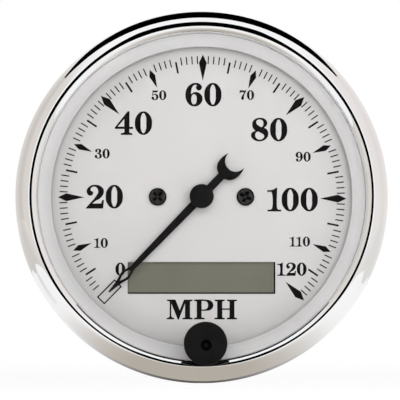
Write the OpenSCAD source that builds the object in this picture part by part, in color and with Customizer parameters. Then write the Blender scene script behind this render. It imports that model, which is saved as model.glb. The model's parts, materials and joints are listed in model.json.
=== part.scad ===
// In-dash electric speedometer for a round panel hole.
// The pieces are drawn facing up: x to the right, y up the dial, z out of the dial towards the driver.
// Each one is then turned so that the dial faces -Y and the panel seat lies at Y = 0.

/* [Panel fit] */
// Outside diameter of the barrel that goes through the panel hole
barrel_d = 78.74; // [74:0.02:90]
// How far the bezel laps over the panel, past the barrel
panel_overlap = 3.48; // [3:0.02:5]
// Depth of the case behind the panel face
case_depth = 50; // [46:0.5:70]
// Thickness of the case's steel sheet
case_wall = 0.8; // [0.6:0.05:1.2]
// How much the barrel widens into its flange, inside the bezel's rolled edge
neck_flare = 0.15; // [0.05:0.01:0.25]
// Corner radius round the back of the case
case_corner = 3; // [2:0.1:6]

/* [Bezel and glass] */
// Wall of the bezel outside the glass
bezel_side = 1.5; // [1.2:0.05:2]
// Distance from the bezel's outside in to its crest
crest_inset = 3.8; // [3.2:0.05:4.4]
// Radius of the lip that runs from the crest in to the glass
lip_round = 1.6; // [1:0.05:2]
// Thickness of the edge rolled in behind the case flange
crimp_t = 0.9; // [0.6:0.05:1.4]
// Play between the rolled edge and the barrel
crimp_gap = 0.4; // [0.2:0.05:0.8]
// Thickness of the glass
lens_t = 1.5; // [1:0.1:3]
// Thickness of the glass gasket
gasket_t = 0.4; // [0.3:0.05:0.8]
// How far the gasket stands back from the bezel's opening
gasket_inset = 0.25; // [0.1:0.05:0.6]
// Play round the discs and rings that are stacked in the bezel
stack_gap = 0.15; // [0.05:0.05:0.4]

/* [Dial] */
// Thickness of the dial plate
dial_t = 0.8; // [0.5:0.05:1.2]
// Diameter of the dial that shows inside the reflector ring
dial_view_d = 69.5; // [66:0.1:72]
// Height of the reflector ring's inner edge above the dial
ring_edge_h = 2.15; // [1.8:0.05:2.4]
// Rise of the reflector ring's face from its inner edge to its wall
ring_rise = 0.45; // [0.3:0.05:0.9]
// Thickness of the reflector ring's lip at its inner edge
ring_lip_t = 0.5; // [0.3:0.05:0.8]
// How far the reflector ring's foot reaches in past the edge of its wall
ring_foot_in = 0.2; // [0:0.05:1]
// Width of the display window
window_w = 34.05; // [26:0.05:36]
// Height of the display window
window_h = 7.37; // [5:0.01:9]
// Diameter of the hole for the pointer shaft
dial_bore_d = 3.2; // [2.4:0.1:4]
// Distance between the two dial screws
screw_spread = 20.28; // [18:0.02:22]
// Diameter of the dial screw heads
screw_head_d = 4.1; // [3.4:0.05:4.6]
// Height of the dial screw heads
screw_head_h = 1.1; // [0.8:0.05:1.6]
// How far the small screws stop short of the end of their holes
thread_short = 0.3; // [0.1:0.05:0.6]
// Thread diameter of the small screws
screw_d = 2; // [1.6:0.1:2.4]

/* [Pointer] */
// Length of the pointer from the shaft to the tip
pointer_reach = 30.8; // [28:0.1:32]
// Half width of the blade beside the hub
blade_half = 0.95; // [0.7:0.05:1.4]
// Half width of the blade where the spade starts
blade_end_half = 0.64; // [0.5:0.02:0.9]
// Thickness of the blade
blade_t = 0.4; // [0.3:0.05:0.8]
// Length of the spade from its root to the tip
spade_len = 8.2; // [7:0.1:9]
// Length of the solid point in front of the spade's neck
point_len = 3.4; // [2.8:0.1:4]
// Radius of the spade at its widest
spade_r = 1.14; // [0.95:0.02:1.4]
// Radius of the spade's drop-shaped hole
drop_r = 0.57; // [0.4:0.01:0.65]
// Distance from the shaft to the middle of the tail's head
tail_reach = 9; // [8:0.1:11]
// Radius of the tail's head
tail_r = 2.9; // [2.4:0.05:3.2]
// Radius of the open jaw in the tail
jaw_r = 2.49; // [2:0.01:2.55]
// Radius of the hub cap
hub_r = 2.78; // [2.4:0.02:3.4]
// Height of the hub cap
hub_t = 1.1; // [0.8:0.05:2]
// How far the blade's eye stands in from the rim of the hub cap
eye_inset = 0.2; // [0.1:0.02:0.6]
// Radius of the hub's boss in the blade
hub_boss_r = 1.6; // [1.3:0.05:2]
// Length of the hub's boss below the blade
hub_boss_drop = 0.7; // [0.3:0.05:1]
// Free height between the screw heads and the blade
pointer_gap = 0.6; // [0.4:0.05:1.5]
// Free height between the hub cap and the glass
lens_gap = 0.4; // [0.3:0.05:1.5]
// Angle of the pointer at rest, from +X, anticlockwise
pointer_rest = 226; // [180:1:270]
// Radius of the pointer shaft
shaft_r = 0.6; // [0.4:0.05:0.8]

/* [Movement] */
// Thickness of the plate under the dial
plate_t = 3.2; // [2.6:0.1:5]
// Width of the plate
plate_w = 37; // [36:0.5:44]
// Height of the plate
plate_h = 21; // [18:0.5:22]
// Length of the coil former
former_h = 13; // [12:0.5:18]
// Distance from the shaft to the former's flat sides
former_half = 9; // [8.6:0.1:9.6]
// Radius of the rounded corners of the former
former_r = 10.8; // [10.4:0.1:11.4]
// Room between the plate and the former's front
former_drop = 2.9; // [2.8:0.1:5]
// Radius of the magnet
magnet_r = 5.8; // [4.5:0.1:6.4]
// Length of the magnet
magnet_h = 5.4; // [4:0.1:6]
// Free space all round the magnet
magnet_gap = 0.7; // [0.5:0.05:1]
// How far the bearing tower stays behind the dial
tower_short = 0.7; // [0.4:0.05:1]
// Radius of the tower that carries the front bearing
tower_r = 2.3; // [2:0.05:2.3]
// Outside radius of the shaft bearings
bearing_r = 1.5; // [1.2:0.05:1.7]
// Length of the shaft bearings
bearing_h = 2; // [1.5:0.1:2.2]
// Distance from the shaft's plane to the near side of each winding
coil_in = 2.4; // [2.4:0.05:3]
// Width of each winding
coil_w = 2.8; // [2:0.1:3]
// Depth of each winding
coil_t = 1.2; // [0.8:0.05:1.3]
// Free space between the windings and the side of the can
can_side_gap = 0.25; // [0.15:0.05:0.5]
// Thickness of the shield can
can_t = 0.6; // [0.4:0.05:0.7]
// Free depth between the windings and the bottom of the can
can_gap = 0.4; // [0.2:0.05:1]
// Distance between the two screws of the can
can_screw_spread = 31; // [30.6:0.2:32]
// Radius of the can's two ears
ear_r = 2.7; // [2.4:0.1:2.8]
// Radius of the solder pins
pin_r = 0.35; // [0.25:0.01:0.45]
// Distance of the movement's pins from the shaft, along x and along y
pin_place = 6.9; // [6.2:0.05:7]
// How deep the movement's pins go into the former
pin_seat = 2.5; // [1.5:0.1:2.8]

/* [Display] */
// Width of the display glass
lcd_w = 38; // [37:0.5:40]
// How far the display glass laps behind the dial above and below its window
lcd_lap = 1.1; // [0.8:0.05:1.4]
// Thickness of the display glass
lcd_t = 1.8; // [1.2:0.1:2.4]
// Wall of the display's holder
holder_wall = 1.1; // [0.8:0.05:1.6]
// Free space between the shield can and the display's holder
display_gap = 0.37; // [0.3:0.01:1]
// Play of the display glass in its holder
lcd_play = 0.15; // [0.1:0.05:0.3]
// Gap between the dial and the display glass
lcd_gap = 0.1; // [0.05:0.05:0.3]
// Depth of the display's holder behind the dial
holder_h = 8.7; // [7:0.1:10]
// Width of the holder's screw ears
holder_ear = 5; // [4.6:0.1:5.4]
// Height of the contact strips, along y
strip_w = 1.8; // [1.4:0.05:2]
// Length of the contact strips
strip_len = 34; // [28:0.5:36]
// Free space between the contact strips and the light block
strip_gap = 0.4; // [0.2:0.05:0.8]
// Thickness of the circuit boards
board_t = 1.6; // [1.2:0.1:2]
// Number of pins between the boards
link_count = 8; // [4:1:10]
// Spacing of the pins between the boards
link_pitch = 2.54; // [2:0.02:3]

/* [Boards and shroud] */
// Free depth between the shield can and the main board
board_gap = 4; // [3:0.1:6]
// Play round the main board
board_play = 0.3; // [0.2:0.05:0.6]
// How far pins stand out behind the main board
pin_proud = 1.5; // [1:0.1:2]
// Wall of the light shroud
shroud_wall = 1.2; // [0.8:0.05:1.4]
// Thickness of the shroud's flange under the dial
shroud_flange_t = 2.4; // [2:0.1:4]
// Play between the shroud and the case
shroud_gap = 0.17; // [0.1:0.01:0.4]
// How far the shroud reaches behind the main board
shroud_tail = 6; // [4:0.5:10]
// Radius of the four bosses that carry the main board
boss_r = 2.6; // [2.3:0.1:3]
// Length of the four bosses
boss_h = 12; // [9:0.5:14]
// How far the bosses sink into the shroud's wall
boss_bite = 0.4; // [0.2:0.05:0.6]
// Depth of the screws in the bosses
boss_screw = 7; // [5:0.5:8]
// Side of the microcontroller
chip_side = 12; // [10:0.5:14]
// Height of the microcontroller
chip_h = 1.8; // [1.2:0.1:2.4]
// Width of the voltage regulator
regulator_w = 10; // [8:0.1:10.4]
// Height of the voltage regulator's body
regulator_h = 9; // [7:0.1:9.4]
// Thickness of the voltage regulator's body
regulator_t = 4.4; // [3.6:0.1:5]
// Height of the voltage regulator's metal tab
regulator_tab = 6; // [4:0.1:6.4]
// Thickness of the metal tab
regulator_tab_t = 1.3; // [0.8:0.1:1.6]
// Free space between the voltage regulator and the screw beside it
regulator_gap = 0.6; // [0.4:0.1:1.5]
// Distance between the round ends of the crystal's can
crystal_w = 7; // [5:0.1:8]
// Height of the crystal's can
crystal_h = 4.4; // [3.4:0.1:5]
// Thickness of the crystal's can
crystal_t = 3.5; // [2:0.1:4.5]
// Radius of the capacitors
cap_r = 4; // [3:0.1:4.5]
// Height of the capacitors
cap_h = 9; // [7:0.5:12]

/* [Trip reset] */
// Diameter of the knob
knob_d = 9.78; // [8:0.02:10.6]
// Thickness of the knob
knob_t = 6; // [5:0.1:8]
// Rounding of the knob's front edge
knob_round = 0.7; // [0.3:0.05:1.2]
// Radius of the dimple in the knob
dimple_r = 1; // [0.7:0.05:1.4]
// Depth of the dimple
dimple_h = 1.1; // [0.6:0.1:1.4]
// Knob's distance right of the dial's centre line
reset_x = 0.75; // [0:0.05:1.5]
// Distance of the push rod's axis in from the shroud's wall
reset_inset = 3.4; // [3.2:0.05:3.8]
// Travel of the knob
reset_travel = 1.5; // [1:0.1:2]
// Gap between the pressed knob and the bezel
knob_gap = 0.5; // [0.3:0.05:1]
// Radius of the push rod
rod_r = 1.25; // [1:0.05:1.35]
// Depth of the rod's seat in the knob
rod_seat = 4; // [3:0.1:4.2]
// Running play of the rod and the plunger
rod_play = 0.06; // [0.03:0.01:0.1]
// Wall of the guide bush
bush_wall = 0.85; // [0.6:0.05:0.95]
// Width of the guide bush's two rims
bush_rim = 0.5; // [0.3:0.05:0.6]
// Thickness of the guide bush's rims
bush_rim_t = 0.6; // [0.4:0.05:1]
// Length of the guide bush behind the dial
bush_len = 10; // [8:0.5:12]
// Free space round the guide bush in the reflector ring's notch
notch_gap = 0.4; // [0.3:0.05:0.6]
// Wall of the rubber grommet in the glass
grommet_wall = 0.55; // [0.4:0.05:0.7]
// Width of the grommet's two rims
grommet_rim = 0.6; // [0.3:0.05:0.7]
// Thickness of the grommet's rims
grommet_rim_t = 0.4; // [0.3:0.05:0.6]
// Radius of the rod's stop collar
collar_r = 2.1; // [1.9:0.05:2.4]
// Thickness of the stop collar
collar_t = 1.1; // [0.8:0.1:2]
// Side of the trip switch
switch_side = 4.6; // [4.2:0.1:4.8]
// Height of the trip switch
switch_h = 4; // [3.6:0.1:6]
// Floor of the switch under its plunger
switch_floor = 0.3; // [0.2:0.05:0.5]
// Radius of the switch's plunger
plunger_r = 0.8; // [0.6:0.05:1]
// Height of the plunger above the switch
plunger_h = 1.9; // [1.7:0.1:3]
// Mean radius of the return spring
spring_r = 1.7; // [1.65:0.02:1.8]
// Radius of the spring's wire
wire_r = 0.2; // [0.15:0.01:0.22]
// Turns of the return spring
spring_turns = 7; // [5:1:9]

/* [Back of the case] */
// Distance between the mounting studs
stud_spread = 38.1; // [34:0.1:44]
// Radius of the mounting studs
stud_r = 2.41; // [2:0.01:3]
// Depth from the crests of the stud's thread to its pitch line, where the nut grips it
thread_half = 0.2; // [0.16:0.01:0.3]
// Length of the studs behind the case
stud_len = 18; // [14:0.5:30]
// Radius of the stud heads inside the case
stud_head_r = 4.5; // [4:0.1:5]
// Thickness of the stud heads
stud_head_t = 2; // [1.5:0.1:3]
// Width of the nuts across their flats
nut_af = 9.53; // [8:0.01:11]
// Thickness of the nuts
nut_t = 3.2; // [2.5:0.1:5]
// Radius of the washers
washer_r = 5; // [4.6:0.1:6]
// Thickness of the washers
washer_t = 1; // [0.6:0.1:1.6]
// Play of the studs in the case and washers, and of the nuts on the studs
stud_play = 0.1; // [0.05:0.01:0.2]
// How far the lamp lies above the centre
lamp_rise = 24; // [22:0.5:26]
// Radius of the lamp holder's neck
lamp_neck_r = 5.5; // [5.2:0.1:6]
// Radius of the lamp holder's rim
lamp_rim_r = 7.6; // [7.2:0.1:8.5]
// Thickness of the lamp holder's rim
lamp_rim_t = 2; // [1.5:0.1:3]
// Height of the lamp holder's grip
lamp_grip_h = 5; // [4:0.1:8]
// How far the lock lugs stand out from the neck
lamp_lug = 1.2; // [0.8:0.1:1.4]
// Thickness of the lock lugs
lamp_lug_t = 1.5; // [1:0.1:2.5]
// Angle that the lamp holder turns from locked to free
lamp_turn = 60; // [45:5:80]
// Play of the lamp holder in the case
lamp_play = 0.1; // [0.05:0.01:0.2]
// Length of the lamp holder's neck inside the case
lamp_neck_len = 6; // [5:0.1:8]
// Thickness of the lamp holder's grip
lamp_grip_t = 3.2; // [2.8:0.1:4]
// Width of the lamp holder's two blades
lamp_blade_w = 2.4; // [1.8:0.1:2.6]
// Height of the bulb's seat above the floor of the case
bulb_seat = 1; // [0.6:0.1:2]
// Radius of the bulb
bulb_r = 4.6; // [4:0.1:5]
// Length of the bulb in front of its holder
bulb_len = 9; // [7:0.5:11]
// Width of the terminal block
block_w = 26; // [25:0.5:28]
// Height of the terminal block
block_h = 11; // [9.5:0.5:12]
// Distance from the pins between the boards down to the terminal block
block_gap = 1.8; // [1.4:0.1:2.4]
// How far the terminal block stands out of the case
block_proud = 2.5; // [1:0.1:5]
// Play of the terminal block in the case
block_play = 0.15; // [0.1:0.05:0.4]
// Width of the blade terminals
blade_w = 6.3; // [4.8:0.1:6.3]
// Thickness of the blade terminals
tab_t = 0.8; // [0.5:0.05:0.8]
// Free length of the blade terminals
tab_len = 8; // [6:0.5:12]
// Spacing of the blade terminals
tab_pitch = 6.2; // [5:0.1:6.2]
// Play of blades and pins in their slots
pin_play = 0.02; // [0.01:0.01:0.05]

/* [Hidden] */
$fn = 96;

// A cut reaches this far past the faces it goes through
past = 1;

// Radii, from the barrel outwards
barrel_r = barrel_d / 2;
case_in_r = barrel_r - case_wall;
bezel_r = barrel_r + panel_overlap;
rebate_r = bezel_r - bezel_side;
stack_r = rebate_r - stack_gap;
crest_r = bezel_r - crest_inset;
opening_r = crest_r - lip_round;
shroud_r = case_in_r - shroud_gap;
shroud_in_r = shroud_r - shroud_wall;
board_r = shroud_in_r - board_play;
reset_drop = shroud_in_r - reset_inset;
can_r = norm([former_half + coil_t, coil_in + coil_w]) + can_side_gap + can_t;
dial_view_r = dial_view_d / 2;

// Heights, from the panel seat towards the glass
flange_z = crimp_t;
shroud_z = flange_z + case_wall;
dial_back = shroud_z + shroud_flange_t;
dial_face = dial_back + dial_t;
blade_z = dial_face + screw_head_h + pointer_gap;
hub_z = blade_z + blade_t;
ring_top = hub_z + hub_t + lens_gap;
lens_top = ring_top + lens_t;
gasket_top = lens_top + gasket_t;
crest_z = gasket_top + lip_round;

// Heights, from the dial towards the back
plate_back = dial_back - plate_t;
former_top = plate_back - former_drop;
former_end = former_top - former_h;
former_mid = former_top - former_h / 2;
magnet_top = former_mid + magnet_h / 2;
magnet_end = former_mid - magnet_h / 2;
cavity_top = magnet_top + magnet_gap;
cavity_end = magnet_end - magnet_gap;
cavity_r = magnet_r + magnet_gap;
can_floor = former_end - 2 * coil_t - can_gap;
can_end = can_floor - can_t;
board_front = can_end - board_gap;
board_back = board_front - board_t;
case_back = -case_depth;
case_floor = case_back + case_wall;
tower_top = dial_back - tower_short;
shaft_top = hub_z + hub_t / 2;
eye_r = hub_r - eye_inset;
shaft_end = cavity_end - bearing_h * 0.8;

// Display stack behind the window
lcd_front = dial_back - lcd_gap;
lcd_h = window_h + 2 * lcd_lap;
lcd_back = lcd_front - lcd_t;
holder_back = dial_back - holder_h;
lcd_board_back = holder_back - board_t;
holder_in_w = lcd_w + 2 * lcd_play;
holder_in_h = lcd_h + 2 * lcd_play;
holder_w = holder_in_w + 2 * holder_wall;
holder_full_h = holder_in_h + 2 * holder_wall;
window_drop = can_r + display_gap + holder_full_h / 2;
holder_screw_x = holder_w / 2 + holder_ear / 2;
strip_y = lcd_h / 2 - strip_w / 2 - strip_gap;
diffuser_h = 2 * (strip_y - strip_w / 2 - strip_gap);

// Push rod and its switch
switch_top = board_front + switch_h;
rod_end = switch_top + plunger_h;
knob_z = crest_z + reset_travel + knob_gap;
rod_top = knob_z + rod_seat;
bush_bore_r = rod_r + rod_play;
bush_r = bush_bore_r + bush_wall;
bush_end = dial_back - bush_len;
stop_gap = 0.05;
collar_top = bush_end - stop_gap;
collar_end = collar_top - collar_t;
grommet_r = rod_r + rod_play + grommet_wall;
notch_r = max(bush_r + bush_rim, grommet_r + grommet_rim) + notch_gap;
spring_end = switch_top + stop_gap;

// Places on the main board and the case back
boss_place = shroud_in_r - boss_r + boss_bite;
boss_angles = [45, 135, 225, 315];
screw_r = screw_d / 2;
screw_hole_r = screw_r + pin_play;
small_head_r = screw_d * 1.05;
small_head_h = screw_d * 0.6;
lamp_hole_r = lamp_neck_r + lamp_play;
lug_angle = 50;
lug_gap = 0.1;
nut_top = case_back - washer_t;
nut_end = nut_top - nut_t;
stud_pitch_r = stud_r - thread_half;
lamp_grip_w = 1.5 * lamp_neck_r;
lamp_grip_end = case_back - lamp_rim_t - lamp_grip_h;
lamp_neck_top = case_floor + lamp_neck_len;
bulb_base_w = 1.6 * bulb_r;
bulb_base_t = 0.5 * bulb_r;
bulb_seat_z = case_floor + bulb_seat;
block_end = case_back - block_proud;
block_drop = window_drop + block_gap + block_h / 2;
tab_xs = [for (i = [-1.5:1:1.5]) i * tab_pitch];
chip_place = [-14, 9];
regulator_rise = 16;
boss_x = boss_place * cos(boss_angles[0]);
regulator_place = [boss_x - small_head_r - regulator_gap - regulator_w / 2, regulator_rise];
crystal_place = [0, 10];
cap_places = [[-24, -8], [-14, -8]];
link_xs = [for (i = [0:link_count - 1]) (i - (link_count - 1) / 2) * link_pitch];

// Turns a piece drawn facing up into the part's own frame
module placed() {
    rotate([90, 0, 0]) children();
}

// Cylinder between two heights
module rod(r, low, high) {
    translate([0, 0, low]) cylinder(r = r, h = high - low);
}

// Ring between two radii and two heights
module ring(r_in, r_out, low, high) {
    difference() {
        rod(r_out, low, high);
        rod(r_in, low - past, high + past);
    }
}

// Block centred in x and y, between two heights
module block(w, h, low, high) {
    translate([-w / 2, -h / 2, low]) cube([w, h, high - low]);
}

// Pan-head screw with a cross recess: its head rests at z = 0 and its thread goes down
module cross_screw(head_r, head_h, thread_r, thread_len) {
    recess_w = head_r * 0.26;
    recess_l = head_r * 1.15;
    recess_d = head_h * 0.6;
    difference() {
        intersection() {
            rod(head_r, 0, head_h);
            translate([0, 0, head_h - 2.2 * head_r]) sphere(r = 2.2 * head_r);
        }
        for (a = [45, 135]) rotate([0, 0, a]) block(recess_l, recess_w, head_h - recess_d, head_h + past);
    }
    rod(thread_r, -thread_len, 0);
}

// The same screw put in from behind
module rear_screw(head_r, head_h, thread_r, thread_len) {
    rotate([180, 0, 0]) cross_screw(head_r, head_h, thread_r, thread_len);
}

// Two copies mirrored left and right
module pair(x) {
    for (side = [-1, 1]) translate([side * x, 0, 0]) children();
}

module bezel() {
    color("gainsboro") placed() rotate_extrude() difference() {
        union() {
            translate([crest_r, crest_z - crest_inset]) intersection() {
                circle(r = crest_inset);
                square(crest_inset);
            }
            translate([crest_r, 0]) square([crest_inset, crest_z - crest_inset]);
            translate([crest_r, gasket_top]) intersection() {
                circle(r = lip_round);
                translate([-lip_round, 0]) square(lip_round);
            }
            translate([opening_r, 0]) square([lip_round, gasket_top]);
        }
        translate([0, crimp_t]) square([rebate_r, gasket_top - crimp_t]);
        translate([0, -past]) square([barrel_r + crimp_gap, crimp_t + 2 * past]);
    }
}

module lens_gasket() {
    color("dimgray") placed() ring(opening_r + gasket_inset, stack_r, lens_top, gasket_top);
}

module lens() {
    color("azure", 0.3) placed() difference() {
        rod(stack_r, ring_top, lens_top);
        translate([reset_x, -reset_drop, 0]) rod(grommet_r, ring_top - past, lens_top + past);
    }
}

module reflector_ring() {
    ring_h = ring_top - dial_face;
    foot_r = opening_r - ring_foot_in;
    lip_low = ring_edge_h - ring_lip_t;
    color("lightgray") placed() translate([0, 0, dial_face]) difference() {
        cylinder(r = stack_r, h = ring_h);
        rotate_extrude() polygon([[0, -past], [foot_r, -past], [foot_r, lip_low], [dial_view_r, lip_low],
            [dial_view_r, ring_edge_h], [opening_r, ring_edge_h + ring_rise], [opening_r, ring_h + past],
            [0, ring_h + past]]);
        translate([reset_x, -reset_drop, 0]) rod(notch_r, -past, ring_h + past);
    }
}

module dial_plate() {
    color("whitesmoke") placed() translate([0, 0, dial_back]) difference() {
        cylinder(r = stack_r, h = dial_t);
        rod(dial_bore_d / 2, -past, dial_t + past);
        pair(screw_spread / 2) rod(screw_hole_r, -past, dial_t + past);
        translate([0, -window_drop, 0]) block(window_w, window_h, -past, dial_t + past);
        translate([reset_x, -reset_drop, 0]) rod(bush_r, -past, dial_t + past);
    }
}

module dial_screws() {
    color("dimgray") placed() translate([0, 0, dial_face]) pair(screw_spread / 2)
        cross_screw(screw_head_d / 2, screw_head_h, screw_r, dial_t + plate_t - thread_short);
}

// Flat stretch of the blade between two places along it, with a half width at each
module blade_stretch(from_x, from_half, to_x, to_half) {
    linear_extrude(blade_t)
        polygon([[from_x, -from_half], [to_x, -to_half], [to_x, to_half], [from_x, from_half]]);
}

// Drop with its round part at x and a point before and after it, between two heights
module drop(x, r, before, after, low, high) {
    translate([x, 0, 0]) rod(r, low, high);
    translate([0, 0, low]) linear_extrude(high - low)
        polygon([[before, 0], [x, -r], [after, 0], [x, r]]);
}

module pointer_blade() {
    spade_root = pointer_reach - spade_len;
    neck = pointer_reach - point_len;
    spade_x = (spade_root + neck) / 2;
    jaw_x = -tail_reach - jaw_r;
    color("black") placed() rotate([0, 0, pointer_rest]) translate([0, 0, blade_z]) difference() {
        union() {
            blade_stretch(0, blade_half, spade_root, blade_end_half);
            blade_stretch(spade_root, blade_end_half, neck, blade_end_half);
            linear_extrude(blade_t)
                polygon([[neck, -blade_end_half], [pointer_reach, 0], [neck, blade_end_half]]);
            drop(spade_x, spade_r, spade_root, pointer_reach - point_len / 2, 0, blade_t);
            cylinder(r = eye_r, h = blade_t);
            blade_stretch(-tail_reach, blade_half, 0, blade_half);
            translate([-tail_reach, 0, 0]) cylinder(r = tail_r, h = blade_t);
            blade_stretch(jaw_x, tail_r, -tail_reach, tail_r);
        }
        rod(hub_boss_r, -past, blade_t + past);
        drop(spade_x, drop_r, spade_root + drop_r, neck - drop_r, -past, blade_t + past);
        translate([jaw_x, 0, 0]) rod(jaw_r, -past, blade_t + past);
    }
}

module pointer_hub() {
    color("black") placed() difference() {
        union() {
            rod(hub_r, hub_z, hub_z + hub_t);
            rod(hub_boss_r, blade_z - hub_boss_drop, hub_z);
        }
        rod(shaft_r, blade_z - hub_boss_drop - past, shaft_top);
    }
}

module pointer_shaft() {
    color("silver") placed() rod(shaft_r, shaft_end, shaft_top);
}

module rotor_magnet() {
    color("slategray") placed() ring(shaft_r, magnet_r, magnet_end, magnet_top);
}

module front_bearing() {
    color("goldenrod") placed() ring(shaft_r + pin_play, bearing_r, tower_top - bearing_h, tower_top);
}

module rear_bearing() {
    color("goldenrod") placed() difference() {
        rod(bearing_r, cavity_end - bearing_h, cavity_end);
        rod(shaft_r + pin_play, shaft_end - pin_play, cavity_end + past);
    }
}

module movement_plate() {
    color("silver") placed() difference() {
        block(plate_w, plate_h, plate_back, dial_back);
        rod(tower_r + pin_play, plate_back - past, dial_back + past);
        pair(screw_spread / 2) rod(screw_hole_r, plate_back - past, dial_back + past);
        pair(can_screw_spread / 2) rod(screw_hole_r, plate_back - past, dial_back + past);
    }
}

// Round body with four flats between two heights
module former(low, high) {
    intersection() {
        rod(former_r, low, high);
        block(2 * former_half, 2 * former_half, low, high);
    }
}

module bobbin_front() {
    color("ivory") placed() difference() {
        union() {
            former(former_mid, former_top);
            rod(tower_r, former_top, tower_top);
        }
        rod(cavity_r, former_mid - past, cavity_top);
        rod(shaft_r + magnet_gap / 2, former_mid - past, tower_top + past);
        rod(bearing_r, tower_top - bearing_h, tower_top + past);
    }
}

module bobbin_rear() {
    color("ivory") placed() difference() {
        former(former_end, former_mid);
        rod(cavity_r, cavity_end, former_mid + past);
        rod(bearing_r, cavity_end - bearing_h, former_mid + past);
        movement_pin_places() rod(pin_r + pin_play, former_end - past, former_end + pin_seat);
    }
}

// Two flat loops, one on each side of the shaft, round a box of the given half width and heights
module coil_loops(half, low, high) {
    for (side = [-1, 1]) translate([0, side * (coil_in + coil_w / 2), 0]) difference() {
        block(2 * (half + coil_t), coil_w, low - coil_t, high + coil_t);
        block(2 * half, coil_w + 2 * past, low, high);
    }
}

module sine_coil() {
    color("peru") placed() coil_loops(former_half, former_end, former_top);
}

module cosine_coil() {
    color("chocolate") placed() rotate([0, 0, 90])
        coil_loops(former_half, former_end - coil_t, former_top + coil_t);
}

module movement_pin_places() {
    for (x = [-1, 1], y = [-1, 1]) translate([x * pin_place, y * pin_place, 0]) children();
}

module movement_pins() {
    color("gold") placed() movement_pin_places()
        rod(pin_r, board_back - pin_proud, former_end + pin_seat);
}

module shield_can() {
    color("lightsteelblue") placed() difference() {
        union() {
            rod(can_r, can_end, plate_back);
            block(can_screw_spread, 2 * ear_r, plate_back - can_t, plate_back);
            pair(can_screw_spread / 2) rod(ear_r, plate_back - can_t, plate_back);
        }
        rod(can_r - can_t, can_floor, plate_back + past);
        pair(can_screw_spread / 2) rod(screw_hole_r, can_end, plate_back + past);
        movement_pin_places() rod(2 * pin_r, can_end - past, can_floor + past);
    }
}

module movement_screws() {
    color("silver") placed() translate([0, 0, plate_back - can_t]) pair(can_screw_spread / 2)
        rear_screw(small_head_r, small_head_h, screw_r, can_t + plate_t - thread_short);
}

module lcd_panel() {
    color("darkseagreen") placed() translate([0, -window_drop, 0]) block(lcd_w, lcd_h, lcd_back, lcd_front);
}

module lcd_diffuser() {
    color("white") placed() translate([0, -window_drop, 0])
        block(strip_len, diffuser_h, holder_back, lcd_back);
}

module contact_strips() {
    color("gray") placed() translate([0, -window_drop, 0]) for (side = [-1, 1])
        translate([0, side * strip_y, 0]) block(strip_len, strip_w, holder_back, lcd_back);
}

module lcd_holder() {
    color("whitesmoke") placed() translate([0, -window_drop, 0]) difference() {
        union() {
            block(holder_w, holder_full_h, holder_back, dial_back);
            block(holder_w + 2 * holder_ear, holder_ear + holder_wall, holder_back, dial_back);
        }
        block(holder_in_w, holder_in_h, holder_back - past, dial_back + past);
        pair(holder_screw_x) rod(screw_hole_r, holder_back - past, dial_back + past);
    }
}

module lcd_board() {
    color("forestgreen") placed() translate([0, -window_drop, 0]) difference() {
        block(holder_w + 2 * holder_ear, holder_full_h, lcd_board_back, holder_back);
        pair(holder_screw_x) rod(screw_hole_r, lcd_board_back - past, holder_back + past);
        for (x = link_xs) translate([x, 0, 0]) rod(pin_r + pin_play, lcd_board_back - past, holder_back + past);
    }
}

module lcd_screws() {
    color("silver") placed() translate([0, -window_drop, lcd_board_back]) pair(holder_screw_x)
        rear_screw(small_head_r, small_head_h, screw_r, board_t + holder_h * 0.7);
}

module link_pins() {
    color("gold") placed() translate([0, -window_drop, 0]) for (x = link_xs)
        translate([x, 0, 0]) rod(pin_r, board_back - pin_proud, holder_back);
}

module boss_places() {
    for (a = boss_angles) rotate([0, 0, a]) translate([boss_place, 0, 0]) children();
}

module main_board() {
    color("forestgreen") placed() difference() {
        rod(board_r, board_back, board_front);
        boss_places() rod(screw_hole_r, board_back - past, board_front + past);
        movement_pin_places() rod(pin_r + pin_play, board_back - past, board_front + past);
        translate([0, -window_drop, 0]) for (x = link_xs)
            translate([x, 0, 0]) rod(pin_r + pin_play, board_back - past, board_front + past);
        translate([0, lamp_rise, 0]) rod(lamp_neck_r + lamp_lug, board_back - past, board_front + past);
        translate([0, -block_drop, 0]) blade_slots(board_back - past, board_front + past);
    }
}

module board_screws() {
    color("silver") placed() translate([0, 0, board_back]) boss_places()
        rear_screw(small_head_r, small_head_h, screw_r, board_t + boss_screw);
}

module microcontroller() {
    color("black") placed() translate(chip_place)
        block(chip_side, chip_side, board_back - chip_h, board_back);
}

module voltage_regulator() {
    color("dimgray") placed() translate(regulator_place) union() {
        block(regulator_w, regulator_h, board_back - regulator_t, board_back);
        translate([0, (regulator_h + regulator_tab) / 2, 0])
            block(regulator_w, regulator_tab, board_back - regulator_tab_t, board_back);
    }
}

module capacitors() {
    color("midnightblue") placed() for (place = cap_places)
        translate(place) rod(cap_r, board_back - cap_h, board_back);
}

module crystal() {
    color("silver") placed() translate(crystal_place) union() {
        block(crystal_w, crystal_h, board_back - crystal_t, board_back);
        pair(crystal_w / 2) rod(crystal_h / 2, board_back - crystal_t, board_back);
    }
}

module trip_switch() {
    color("dimgray") placed() translate([reset_x, -reset_drop, 0]) difference() {
        block(switch_side, switch_side, board_front, switch_top);
        rod(plunger_r + rod_play, board_front + switch_floor, switch_top + past);
    }
}

module switch_plunger() {
    color("firebrick") placed() translate([reset_x, -reset_drop, 0])
        rod(plunger_r, board_front + switch_floor + reset_travel + stop_gap, rod_end);
}

module reset_rod() {
    color("silver") placed() translate([reset_x, -reset_drop, 0]) union() {
        rod(rod_r, rod_end, rod_top);
        rod(collar_r, collar_end, collar_top);
    }
}

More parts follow.
